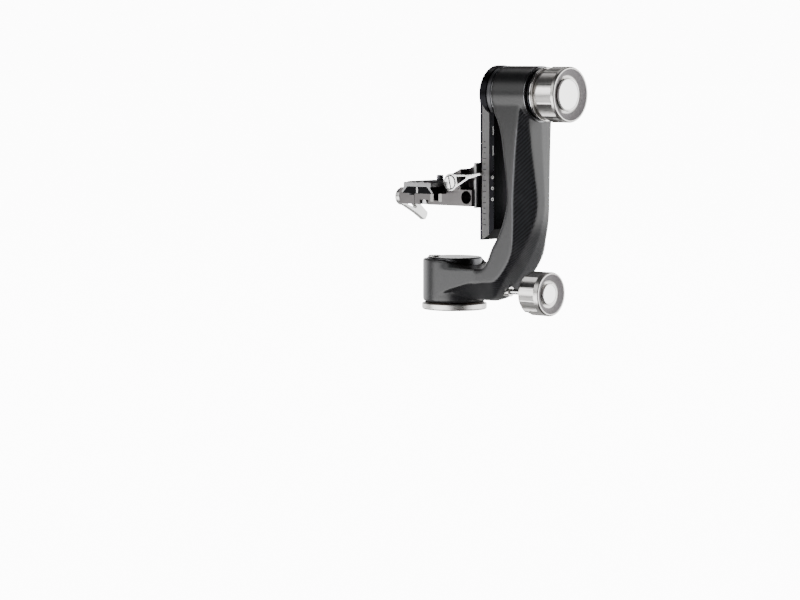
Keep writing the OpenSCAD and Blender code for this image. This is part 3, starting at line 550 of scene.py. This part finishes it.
def build_drum_rim_highlights():
    """A painted highlight at both ends of the upper drum: thin turned rings of satin silver on its rounded
    rims.
    """
    hub_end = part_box("hub_disc")[1]
    radius = hub_end.z - tilt_axis.z
    satin = turned_metal("Aluminium_turned_rim_highlight", "#8e8e90", tilt_axis, ALONG_X, roughness=0.25)
    section = [(0, 1.5), (0, 0.5), (0.5, 0), (0.9, 0), (1.2, 1.5), (0, 1.5)]
    ends = (("inner", hub_end.x + 0.3 * MM, 1), ("outer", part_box("drum_end_ring")[0].x, -1))
    for name, start, way in ends:
        rim = [(start + way * out * MM, radius - sunk * MM) for out, sunk in section]
        make_piece(spun(rim, tilt_axis), "drum_rim_highlight_" + name, "yoke", [satin])


# ---- Base, cap and level ----

def build_base():
    """The turned base disc, on its bush and screws."""
    silver = turned_metal("Aluminium_turned_base", settings().silver, pan_axis, ALONG_Z, roughness=0.36)
    machined("base_disc", "base", silver, edge=0.25 * MM)


def build_cap():
    """The lower drum's cap, with its broken edge and the bubble level's ring and lens."""
    black = blasted_metal("Black_anodised_cap", settings().black, roughness=0.3)
    machined("base_cap", "yoke", black, edge=0.35 * MM)
    silver = turned_metal(
        "Aluminium_turned_level", settings().silver, middle("level_ring"), ALONG_Z, roughness=0.4,
        ring=0.3 * MM)
    machined("level_ring", "yoke", silver, edge=0.12 * MM)
    machined("level_lens", "yoke", level_liquid(), edge=0.15 * MM)


def build_level_marks():
    """The level's dark circle, and the pale bubble a little off its middle."""
    centre = middle("level_ring")
    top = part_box("level_lens")[1].z
    mark_r, mark_deep = 1.9 * MM, 0.06 * MM
    bubble_r, bubble_flat, bubble_off, bubble_deep = 1.35 * MM, 0.16, 0.2 * MM, 0.2 * MM
    mark = flat_ring(mark_r, 0.86 * mark_r, 0.05 * MM, segments=48)
    bmesh.ops.translate(mark, vec=(centre.x, centre.y, top - mark_deep), verts=mark.verts)
    make_piece(mark, "level_mark", "yoke", [matt_finish("Ink_black", "#141414")])
    bubble = bmesh.new()
    bmesh.ops.create_uvsphere(bubble, u_segments=24, v_segments=12, radius=bubble_r)
    bmesh.ops.scale(bubble, vec=(1, 1, bubble_flat), verts=bubble.verts)
    bmesh.ops.translate(
        bubble, vec=(centre.x + bubble_off, centre.y, top - bubble_deep), verts=bubble.verts)
    make_piece(bubble, "level_bubble", "yoke", [matt_finish("Bubble_pale", "#eef4c4")])


# ---- Drums' metal parts ----

def build_hub():
    """The rail's hub disc, the drum's end ring, and the pan lock's guide bush and shaft."""
    hub = blasted_metal("Black_anodised_hub", settings().black)
    machined("hub_disc", "swing", hub)
    end_ring = blasted_metal("Black_anodised_ring", "#3c3c3e")
    machined("drum_end_ring", "yoke", end_ring, edge=0.2 * MM)
    bush = turned_metal("Aluminium_turned_bush", settings().silver, pan_lock_axis, ALONG_X)
    machined("lock_bush", "yoke", bush)
    shaft = turned_metal("Steel_turned_shaft", "#e4e4e4", pan_lock_axis, ALONG_X, roughness=0.26)
    machined("pan_lock_shaft", "pan_lock", shaft, edge=0.2 * MM)


# ---- Rail ----

def build_rail():
    """The dovetail rail: black, with uncoated satin bevels and a painted highlight on the walls of its side
    slots.
    """
    shape = cad_shape("swing_rail")
    break_edges(shape, settings().edge, 28)
    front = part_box("swing_rail")[1].x
    bevel_top = tilt_axis.z - 22 * MM
    bevel_area = 10 * MM * MM
    slot_near, slot_far, slot_deep = 18.2 * MM, 19.2 * MM, 2.7 * MM
    for face in shape.faces:
        place, normal = face.calc_center_median(), face.normal
        slanted = abs(normal.x) > 0.6 and abs(normal.y) > 0.6
        if slanted and place.z < bevel_top and face.calc_area() > bevel_area:
            face.material_index = 1
        elif slot_near < abs(place.y) < slot_far and place.x > front - slot_deep:
            face.material_index = 2
    # The third finish is a painted highlight: a lighter steel on the walls of the side slots.
    finishes = [
        blasted_metal("Black_anodised_rail", "#18181a", 0.3), matt_finish("Scale_bevel_satin", "#aeadad"),
        plated_metal("Steel_slot_walls_painted_highlight", "#9a9a9a", 0.3)]
    make_piece(
        shape, "swing_rail_piece", "swing", finishes, ["swing_rail"], flat_faces=True)


def build_rail_screws():
    """The rail's bright side screws and the hub's black ones."""
    bright = plated_metal("Steel_bright_screws", "#8c8c8c")
    machined("rail_side_screws", "swing", bright, edge=0.1 * MM)
    black = plated_metal("Steel_black_screws", "#4c4c50", 0.3)
    machined("hub_screws", "swing", black, edge=0.12 * MM)


def build_graduation():
    """Dark filled ticks along the rail's front and rear bevels, every other one a long one."""
    low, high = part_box("swing_rail")
    step = settings().tick_step
    lip, bevel = 2.8 * MM, 4.5 * MM
    lengths = (3.0 * MM, 1.7 * MM)
    deep, tall = 0.06 * MM, 0.45 * MM
    proud = 0.03 * MM * math.sqrt(0.5)
    first = low.z + 14 * MM
    top = tilt_axis.z - 34 * MM
    ticks = bmesh.new()
    for i in range(int((top - first) / step)):
        for side in (-1, 1):
            place = (low.x + lip + bevel / 2 + proud, side * (high.y - bevel / 2 + proud), first + i * step)
            turn = Matrix.Rotation(side * math.radians(-45), 3, "Z")
            add_block(ticks, (lengths[i % 2], deep, tall), place, turn)
    make_piece(ticks, "rail_graduation", "swing", [matt_finish("Ink_dark", "#2c2c2c")])


# ---- Platform ----

def build_platform():
    """The sliding platform's bar, the clamp's jaw and the back plate."""
    bar = milled_metal("Black_anodised_platform", "#5e5c5c")
    machined("platform_bar", "platform", bar, angle=30)
    machined("clamp_jaw", "jaw", bar, angle=30)
    back = milled_metal("Black_anodised_back", "#7c7c7c")
    machined("platform_back", "platform", back, edge=0.35 * MM)


def build_groove_highlights():
    """A painted highlight on both sides of the platform's stop groove, at each end of the bar: thin metal
    strips where the groove's rounded edges catch the light.
    """
    bar_low, bar_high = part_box("platform_bar")
    strip_wide, groove, gap, tall = 3.8 * MM, 5.5 * MM, 0.9 * MM, 7.4 * MM
    groove_x = middle("quick_plate").x + 7.3 * MM
    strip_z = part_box("quick_plate")[0].z - 4.3 * MM
    edge_highlights = bmesh.new()
    for end in (bar_low.y, bar_high.y):
        for side in (-1, 1):
            place = (groove_x + side * (groove + strip_wide + gap) / 2, end, strip_z)
            add_block(edge_highlights, (strip_wide, 0.06 * MM, tall), place)
    corners = [e for e in edge_highlights.edges if e.calc_length() < 1 * MM]
    bmesh.ops.bevel(
        edge_highlights, geom=corners, offset=0.8 * MM, offset_type="OFFSET", segments=3, profile=0.5,
        affect="EDGES", clamp_overlap=True, material=-1)
    # Painted highlight: a pale metal stands for the light on the groove's rounded edges.
    highlight_metal = plated_metal("Painted_highlight_groove_edge", "#9c9a97", 0.34)
    make_piece(edge_highlights, "stop_groove_highlights", "platform", [highlight_metal])


def build_platform_screws():
    """The back plate's four black screws."""
    black = plated_metal("Steel_black_back_screws", "#4c4c50", 0.3)
    machined("platform_screws", "platform", black, edge=0.12 * MM)


# ---- Levers ----

def build_lever(node, body, axis, finish, widening):
    """A skeleton lever whose handle gets wider, or narrower, by a share past its window."""
    shape = cad_shape(node)
    sideways = 1 if axis == "X" else 0
    centre = middle(node + "_screw")
    hub = Vector((centre[sideways], centre.z))
    past_window, eased = 0.5, 0.12
    reaches = [Vector((v.co[sideways], v.co.z)) - hub for v in shape.verts]
    handle = max(reaches, key=lambda reach: reach.length)
    along = handle.normalized()
    across = Vector((-along.y, along.x))
    for vertex, place in zip(shape.verts, reaches):
        share = (place.dot(along) / handle.length - past_window) / eased
        if share > 0:
            off = across * place.dot(across) * widening * min(1.0, share)
            vertex.co[sideways] += off.x
            vertex.co.z += off.y
    break_edges(shape, 0.5 * MM)
    make_piece(shape, node + "_piece", body, [finish], [node], flat_faces=True)


def build_lever_screw(node, body, axis, bright, dark):
    """A slotted lever screw, set back a little, with painted shade in its slot and the painted shadow of
    the groove round its head.
    """
    index = "XYZ".index(axis)
    low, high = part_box(node)
    front = low[index]
    slot_floor, head_deep, groove_deep = 0.7 * MM, 1.2 * MM, 1.36 * MM
    shape = cad_shape(node)
    break_edges(shape, 0.12 * MM)
    # Painted shade: the slot's walls and floor take the dark finish.
    for face in shape.faces:
        deep = face.calc_center_median()[index] - front
        wall = abs(face.normal[index]) < 0.3 and deep < slot_floor
        if wall or abs(deep - slot_floor) < 0.1 * MM:
            face.material_index = 1
    for vertex in shape.verts:
        if vertex.co[index] < front + head_deep:
            vertex.co[index] += SUNK
    make_piece(shape, node + "_piece", body, [bright, dark], [node], flat_faces=True)
    place = middle(node)
    place[index] = front + groove_deep
    head = max(high[i] - low[i] for i in range(3) if i != index) / 2
    groove = flat_ring(head + 0.7 * MM, head - 0.05 * MM, 0.08 * MM)
    turn = Matrix.Rotation(math.radians(90), 3, "X" if axis == "Y" else "Y")
    bmesh.ops.rotate(groove, cent=(0, 0, 0), matrix=turn, verts=groove.verts)
    bmesh.ops.translate(groove, vec=place, verts=groove.verts)
    make_piece(groove, node + "_groove", body, [dark])


def build_slot_shadow(node, body, dark):
    """The shadow in the slot of a lever screw that faces along Y."""
    low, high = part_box(node)
    rim, deep, wide = 0.4 * MM, 0.06 * MM, 1.5 * MM
    place = middle(node)
    place.y = low.y + SUNK
    slot = bmesh.new()
    turn = Matrix.Rotation(math.radians(-105), 3, "Y")
    add_block(slot, (high.x - low.x - 2 * rim, deep, wide), place, turn)
    make_piece(slot, node + "_slot", body, [dark])


def build_levers():
    """Both skeleton levers, with their slotted hub screws."""
    satin = plated_metal("Nickel_satin_lever", "#f4f4f2", 0.24)
    dull = plated_metal("Nickel_dull_lever", "#dcdcda", 0.3)
    bright = plated_metal("Nickel_bright_screw", "#f8f8f6", 0.16)
    dark = matt_finish("Groove_shadow", "#101012")
    build_lever("height_lever", "height_lock", "Y", satin, -0.4)
    build_lever("clamp_lever", "clamp_lock", "X", dull, 0.9)
    build_lever_screw("height_lever_screw", "height_lock", "Y", bright, dark)
    build_slot_shadow("height_lever_screw", "height_lock", dark)
    build_lever_screw("clamp_lever_screw", "clamp_lock", "X", bright, dark)


# ---- Quick-release plate ----

def build_plate():
    """The quick-release plate: grey flange over a black dovetail, its ends set back for the index line and
    the painted highlight strips.
    """
    shape = cad_shape("quick_plate")
    low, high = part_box("quick_plate")
    for vertex in shape.verts:
        if high.y - abs(vertex.co.y) < INLAY:
            vertex.co.y -= math.copysign(INLAY, vertex.co.y)
    break_edges(shape, settings().edge, 30)
    flange_z = low.z + 6.2 * MM
    bmesh.ops.bisect_plane(
        shape, geom=shape.verts[:] + shape.edges[:] + shape.faces[:], plane_co=(0, 0, flange_z),
        plane_no=ALONG_Z)
    for face in shape.faces:
        face.material_index = int(face.calc_center_median().z < flange_z)
    grey = blasted_metal("Grey_anodised_plate", settings().grey, 0.3)
    dark = blasted_metal("Black_anodised_dovetail", "#101012", 0.35)
    make_piece(
        shape, "quick_plate_piece", "plate", [grey, dark], ["quick_plate"],
        flat_faces=True)
    build_index_line()
    build_end_highlights(grey)


def build_index_line():
    """The white index line, flush in the middle of each end of the plate."""
    low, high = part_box("quick_plate")
    centre_x = middle("quick_plate").x
    wide, deep, tall = 1.9 * MM, 0.05 * MM, 5.6 * MM
    line = bmesh.new()
    for end in (low.y, high.y):
        place = (centre_x, end - math.copysign(deep / 2, end), low.z + 3.2 * MM)
        add_block(line, (wide, deep, tall), place)
    white = matt_finish("Ink_white_index", "#f4f4f2")
    make_piece(line, "plate_index_line", "plate", [white])


def build_end_highlights(finish):
    """A painted highlight beside the dovetail, on both sides of each end of the plate: slanted strips in
    the flange's grey.
    """
    low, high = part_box("quick_plate")
    centre_x = middle("quick_plate").x
    outline = [(15, 6.2), (18.8, 1.4), (18.6, 0.4), (17.6, 0.4), (12, 6.2)]
    # Painted highlight: grey strips stand for the light on the slanted edges beside the dovetail.
    highlight_strips = bmesh.new()
    for end in (low.y, high.y):
        for side in (-1, 1):
            corners = [
                highlight_strips.verts.new((centre_x + side * x * MM, end, low.z + z * MM)) for x, z in outline]
            made = bmesh.ops.extrude_face_region(highlight_strips, geom=[highlight_strips.faces.new(corners)])
            bmesh.ops.translate(highlight_strips, vec=(0, -math.copysign(INLAY, end), 0), verts=verts_in(made))
    bmesh.ops.recalc_face_normals(highlight_strips, faces=highlight_strips.faces)
    make_piece(highlight_strips, "plate_end_highlights", "plate", [finish])


def build_plate_fittings():
    """The plate's rubber strips, camera screws and stop screws."""
    machined("plate_pads", "plate", moulded_rubber(), edge=0.15 * MM)
    camera = plated_metal("Steel_black_camera_screws", "#5a5a5e", 0.28)
    machined("camera_screws", "plate", camera, edge=0.15 * MM)
    stop = plated_metal("Steel_black_stop_screws", "#3c3c3e", 0.35)
    machined("plate_stop_screws", "plate", stop, edge=0.1 * MM)


# ---- Knobs ----

def finer(profile, step):
    """A profile with points added along its long straight stretches."""
    points = []
    for (x0, r0), (x1, r1) in zip(profile, profile[1:]):
        parts = max(1, round(math.hypot(x1 - x0, r1 - r0) / step))
        points += [(x0 + (x1 - x0) * i / parts, r0 + (r1 - r0) * i / parts) for i in range(parts)]
    return points + [profile[-1]]


def press_flutes(shape, axis, radius, depth, count, first, last):
    """Presses concave flutes into a knob's rim between two places along X."""
    half_width = 0.44  # of a flute, as a share of the step from one to the next
    for vertex in shape.verts:
        y, z = vertex.co.y - axis.y, vertex.co.z - axis.z
        r = math.hypot(y, z)
        if not first < vertex.co.x < last or r < radius - depth:
            continue
        phase = (math.atan2(y, z) * count / (2 * math.pi)) % 1 - 0.5
        limit = radius - depth * max(0.0, 1 - (phase / half_width) ** 2)
        if r > limit:
            vertex.co.y = axis.y + y * limit / r
            vertex.co.z = axis.z + z * limit / r


def build_knob(node, body, axis, cone, recess, flute_end):
    """A fluted knob. Its cone is measured from its back and rim, and its recess from its front, in mm."""
    low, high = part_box(node)
    radius = (high.y - low.y) / 2
    front = high.x
    lip = [(1.4, 0), (0.5, 0.35), (0.1, 0.9), (0, 1.3), (0.05, 1.9), (0.35, 2.3)]
    back = [(low.x + x * MM, radius + r * MM) for x, r in cone]
    rim = [(front - x * MM, radius - r * MM) for x, r in lip]
    hollow = [(front - x * MM, r * MM) for x, r in recess]
    shape = spun(finer(back + rim[:1], 0.5 * MM) + rim[1:] + hollow, axis, steps=240)
    press_flutes(
        shape, axis, radius, depth=2.0 * MM, count=10, first=back[0][0], last=front - flute_end * MM)
    lip_width = 2.2 * MM
    recess_floor, recess_inner = hollow[0]
    for face in shape.faces:
        place = face.calc_center_median()
        off = math.hypot(place.y - axis.y, place.z - axis.z)
        if recess_inner < off < radius - lip_width and place.x > recess_floor:
            face.material_index = 1
    silver = tint(settings().silver, 0.94)
    turned = turned_metal("Aluminium_turned_" + node, silver, axis, ALONG_X, roughness=0.29)
    blasted = matt_finish("Aluminium_blasted_" + node, "#8e8a8c")
    make_piece(shape, node + "_piece", body, [turned, blasted], [node])


def build_knob_face(node, body, axis, radius, near, far):
    """The polished disc, from near to far behind the knob's front: a raised rim round a shallow dish."""
    knob_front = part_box(node)[1].x
    front, back = knob_front - near, knob_front - far
    outline = [
        (back, 0.0), (back, radius), (front - 0.5 * MM, radius), (front, radius - 0.4 * MM),
        (front, radius - 1.0 * MM), (front - 0.35 * MM, radius - 1.3 * MM),
        (front - 0.45 * MM, radius * 0.55), (front - 0.5 * MM, 0.0)]
    polished = turned_metal(
        "Aluminium_polished_" + node, "#f4f3f1", axis, ALONG_X, roughness=0.12, darkest=0.97)
    make_piece(
        spun(outline, axis), node + "_face_piece", body, [polished], [node + "_face"])


def build_knobs():
    """Both fluted knobs with their face discs, and the tilt knob's flange."""
    build_knob(
        "tilt_knob", "tilt_lock", tilt_axis, cone=[(2.4, -18), (2.4, -4.5), (9, 0)],
        recess=[(4.2, 17.2), (4.6, 15.2), (6.8, 15.0), (6.8, 0)], flute_end=3.4)
    build_knob_face("tilt_knob", "tilt_lock", tilt_axis, radius=14.4 * MM, near=2.0 * MM, far=6.8 * MM)
    build_knob(
        "pan_knob", "pan_lock", pan_lock_axis,
        cone=[(0, -17), (0, -14), (1, -8), (2.2, -4), (3.8, -1.6), (6, 0)],
        recess=[(3.4, 12.6), (3.7, 10.4), (4.4, 10.2), (4.4, 0)], flute_end=5.6)
    build_knob_face("pan_knob", "pan_lock", pan_lock_axis, radius=9.7 * MM, near=1.6 * MM, far=4.4 * MM)
    flange = turned_metal("Aluminium_turned_flange", settings().silver, tilt_axis, ALONG_X, roughness=0.16)
    machined("tilt_knob_flange", "tilt_lock", flange)


# ---- Inside ----

def build_inside():
    """Finishes of the bearings, shafts, washers and screws inside."""
    about_pan, about_tilt = (pan_axis, ALONG_Z), (tilt_axis, ALONG_X)
    paint(turned_metal("Brass_turned", "#c9a24e", *about_pan), "thread_bush")
    paint(turned_metal("Brass_pad", "#b98e45", pan_lock_axis, ALONG_X), "brake_pad")
    paint(turned_metal("Steel_spindle", "#c4c4c6", *about_pan), "pan_spindle", "pan_washer")
    paint(plated_metal("Steel_black_oxide", "#3a3a3e", 0.32), "base_screws", "pan_nut")
    paint(turned_metal("Bronze_oiled_thrust", "#241c16", *about_pan, roughness=0.4), "thrust_washer")
    paint(turned_metal("Bronze_oiled_tilt", "#241c16", *about_tilt, roughness=0.4), "tilt_thrust_washer")
    paint(turned_metal("Aluminium_housing_pan", "#b4b4b6", *about_pan, roughness=0.3), "pan_housing")
    paint(turned_metal("Aluminium_housing_tilt", "#b4b4b6", *about_tilt, roughness=0.3), "tilt_housing")
    pan_steel = turned_metal("Bearing_steel_pan", "#cfcfd1", *about_pan, roughness=0.14)
    paint(pan_steel, "pan_bearing_lower", "pan_bearing_upper")
    tilt_steel = turned_metal("Bearing_steel_tilt", "#cfcfd1", *about_tilt, roughness=0.14)
    paint(tilt_steel, "tilt_bearing_inner", "tilt_bearing_outer")
    paint(turned_metal("Steel_tilt_shaft", "#c4c4c6", *about_tilt), "tilt_shaft")
    ground = plated_metal("Steel_ground", "#c4c4c6")
    paint(ground, "slide_key", "height_cam", "clamp_rod", "guide_pin", "safety_pin")


# ---- Studio ----

WHITE = (1, 1, 1, 1)
EASED = {"interpolation_type": "SMOOTHSTEP"}


def light_card(name, place, aim, width, height, power):
    """A large soft white light that faces a point."""
    lamp = bpy.data.lights.new(name, "AREA")
    lamp.shape = "RECTANGLE"
    lamp.size, lamp.size_y = width, height
    lamp.energy = power
    card = add_object(name, lamp)
    card.location = place
    card.rotation_euler = (aim - place).to_track_quat("-Z", "Y").to_euler()
    card.visible_camera = False


def studio_world(away, studio):
    """A low white backdrop behind the head, a dark room round the rest, and white to the camera."""
    world = bpy.data.worlds.new("studio")
    world.use_nodes = True
    bpy.context.scene.world = world
    tree = world.node_tree
    tree.nodes.clear()
    ray = add_node(tree, "TexCoord").outputs["Generated"]
    up = add_node(tree, "SeparateXYZ", {0: ray}).outputs["Z"]
    facing = add_node(tree, "VectorMath", {0: ray, 1: away}, operation="DOT_PRODUCT")
    behind = add_node(tree, "MapRange", {"Value": facing, "From Min": 0.15, "From Max": 0.6}, **EASED)
    low = add_node(tree, "MapRange", {
        "Value": up, "From Min": 0.14, "From Max": 0.34, "To Min": 1.0, "To Max": 0.0}, **EASED)
    below = add_node(tree, "MapRange", {
        "Value": up, "From Min": -0.42, "From Max": -0.06, "To Min": 0.22, "To Max": 1.0}, **EASED)
    band = add_node(tree, "Math", {0: behind, 1: low}, operation="MULTIPLY")
    share = add_node(tree, "Math", {0: band, 1: below}, operation="MULTIPLY")
    strength = add_node(
        tree, "Math", {0: share, 1: studio.backdrop, 2: studio.room}, operation="MULTIPLY_ADD")
    lit = add_node(tree, "Background", {"Color": WHITE, "Strength": strength})
    white = add_node(tree, "Background", {"Color": WHITE, "Strength": studio.glow})
    seen = add_node(tree, "LightPath").outputs["Is Camera Ray"]
    both = add_node(tree, "MixShader", {0: seen, 1: lit, 2: white})
    add_node(tree, "OutputWorld", {"Surface": both})


def studio_floor(studio):
    """A pale paper floor that the camera sees nearly as white as the backdrop."""
    half_size = 14.0
    shape = bmesh.new()
    bmesh.ops.create_grid(shape, x_segments=1, y_segments=1, size=half_size)
    bmesh.ops.translate(shape, vec=(0, 0, cad_low.z - 0.1 * MM), verts=shape.verts)
    floor = add_shape("floor", shape)
    floor.visible_glossy = False
    floor.visible_shadow = False
    paper, tree, shader, place = new_finish("Floor_paper")
    fibre = clouds(tree, place, 40 * MM, tint(studio.floor, 0.99), studio.floor)
    seen = add_node(tree, "LightPath").outputs["Is Camera Ray"]
    shine = add_node(tree, "Math", {0: seen, 1: studio.glow}, operation="MULTIPLY")
    given = add_node(tree, "Math", {0: shine, 1: studio.floor_bounce}, operation="MAXIMUM")
    feed(tree, shader, {
        "Base Color": fibre, "Roughness": 0.8, "Emission Color": WHITE, "Emission Strength": given})
    floor.data.materials.append(paper)


def studio_camera(back, studio):
    """The camera, whose place and turn were worked out from the photograph."""
    right = Vector((0.743, 0.669, 0)).normalized()
    up = back.cross(right)
    distance, to_right, to_top = 2.778, -0.05047, 0.00796
    data = bpy.data.cameras.new("photo_camera")
    data.lens = studio.lens
    data.sensor_width = 36
    data.clip_start = 0.05
    camera = add_object("photo_camera", data)
    turn = Matrix((right, up, back)).transposed().to_4x4()
    camera.matrix_world = Matrix.Translation(back * distance + right * to_right + up * to_top) @ turn
    bpy.context.scene.camera = camera


def studio_cards(back, studio):
    """The soft lights: two on the left, one on the right, and one over the far side."""
    aim = Vector((0.03, 0, 0.11))
    reach = 1.25
    # Each has its degrees round the head from +X, its height over the aim, its size and its power.
    cards = (
        ("left_card", -104, -0.5, 1.7, 1.0, studio.left_light),
        ("upper_left_card", -108, 0.62, 1.6, 0.75, studio.upper_light),
        ("right_card", 32, 0, 1.6, 1.2, studio.right_light))
    for name, azimuth, height, wide, tall, power in cards:
        turn = math.radians(azimuth)
        place = aim + Vector((math.cos(turn) * reach, math.sin(turn) * reach, height))
        light_card(name, place, aim, wide, tall, power)
    over = aim - back * 0.9 + ALONG_Z * 1.6
    light_card("top_card", over, aim - back * 0.4, 1.2, 0.8, studio.top_light)


def build_studio():
    """Camera, floor, backdrop and soft lights."""
    studio = bpy.context.scene.gimbal_studio
    back = Vector((0.6668, -0.7405, 0.0837)).normalized()
    studio_camera(back, studio)
    studio_floor(studio)
    studio_world(-back, studio)
    studio_cards(back, studio)


# ---- Add-on ----

class GIMBAL_OT_arm(bpy.types.Operator):
    """Build the carbon arm with its drums"""
    bl_idname = "gimbal.arm"
    bl_label = "Carbon arm"

    def execute(self, context):
        build_arm()
        build_drum_rim_highlights()
        return {"FINISHED"}


class GIMBAL_OT_base(bpy.types.Operator):
    """Build the base disc, cap and bubble level"""
    bl_idname = "gimbal.base"
    bl_label = "Base, cap and level"

    def execute(self, context):
        build_base()
        build_cap()
        build_level_marks()
        return {"FINISHED"}


class GIMBAL_OT_hub(bpy.types.Operator):
    """Build the hub disc, the drum's end ring and the pan lock's bush and shaft"""
    bl_idname = "gimbal.hub"
    bl_label = "Hub and rings"

    def execute(self, context):
        build_hub()
        return {"FINISHED"}


class GIMBAL_OT_rail(bpy.types.Operator):
    """Build the swing rail with its graduation and screws"""
    bl_idname = "gimbal.rail"
    bl_label = "Swing rail"

    def execute(self, context):
        build_rail()
        build_rail_screws()
        build_graduation()
        return {"FINISHED"}


class GIMBAL_OT_platform(bpy.types.Operator):
    """Build the sliding platform and the clamp's jaw"""
    bl_idname = "gimbal.platform"
    bl_label = "Platform"

    def execute(self, context):
        build_platform()
        build_groove_highlights()
        build_platform_screws()
        return {"FINISHED"}


class GIMBAL_OT_levers(bpy.types.Operator):
    """Build both skeleton levers and their screws"""
    bl_idname = "gimbal.levers"
    bl_label = "Levers"

    def execute(self, context):
        build_levers()
        return {"FINISHED"}


class GIMBAL_OT_plate(bpy.types.Operator):
    """Build the quick-release plate with its rubber strips and screws"""
    bl_idname = "gimbal.plate"
    bl_label = "Quick-release plate"

    def execute(self, context):
        build_plate()
        build_plate_fittings()
        return {"FINISHED"}


class GIMBAL_OT_knobs(bpy.types.Operator):
    """Build both fluted knobs"""
    bl_idname = "gimbal.knobs"
    bl_label = "Knobs"

    def execute(self, context):
        build_knobs()
        return {"FINISHED"}


class GIMBAL_OT_inside(bpy.types.Operator):
    """Finish the parts inside"""
    bl_idname = "gimbal.inside"
    bl_label = "Inside parts"

    def execute(self, context):
        build_inside()
        return {"FINISHED"}


class GIMBAL_OT_studio(bpy.types.Operator):
    """Set up the floor, the lights and the camera"""
    bl_idname = "gimbal.studio"
    bl_label = "Studio"

    def execute(self, context):
        build_studio()
        return {"FINISHED"}


OPERATORS = (
    GIMBAL_OT_studio, GIMBAL_OT_arm, GIMBAL_OT_base, GIMBAL_OT_hub, GIMBAL_OT_rail, GIMBAL_OT_platform,
    GIMBAL_OT_levers, GIMBAL_OT_plate, GIMBAL_OT_knobs, GIMBAL_OT_inside,
)


class GIMBAL_PT_panel(bpy.types.Panel):
    """Lists the pieces of the gimbal head and their settings"""
    bl_idname = "GIMBAL_PT_panel"
    bl_label = "Gimbal Head"
    bl_space_type = "VIEW_3D"
    bl_region_type = "UI"
    bl_category = "Gimbal Head"

    def draw(self, context):
        for operator in OPERATORS:
            self.layout.operator(operator.bl_idname)
        for group in (context.scene.gimbal_finish, context.scene.gimbal_studio):
            for name in group.bl_rna.properties.keys():
                if name not in ("rna_type", "name"):
                    self.layout.prop(group, name)


CLASSES = (FinishSettings, StudioSettings, *OPERATORS, GIMBAL_PT_panel)


def register():
    for cls in CLASSES:
        bpy.utils.register_class(cls)
    bpy.types.Scene.gimbal_finish = bpy.props.PointerProperty(type=FinishSettings)
    bpy.types.Scene.gimbal_studio = bpy.props.PointerProperty(type=StudioSettings)


def unregister():
    del bpy.types.Scene.gimbal_studio
    del bpy.types.Scene.gimbal_finish
    for cls in reversed(CLASSES):
        bpy.utils.unregister_class(cls)


def main():
    register()
    for operator in OPERATORS:
        group, name = operator.bl_idname.split(".")
        getattr(getattr(bpy.ops, group), name)()


if __name__ == "__main__":
    main()
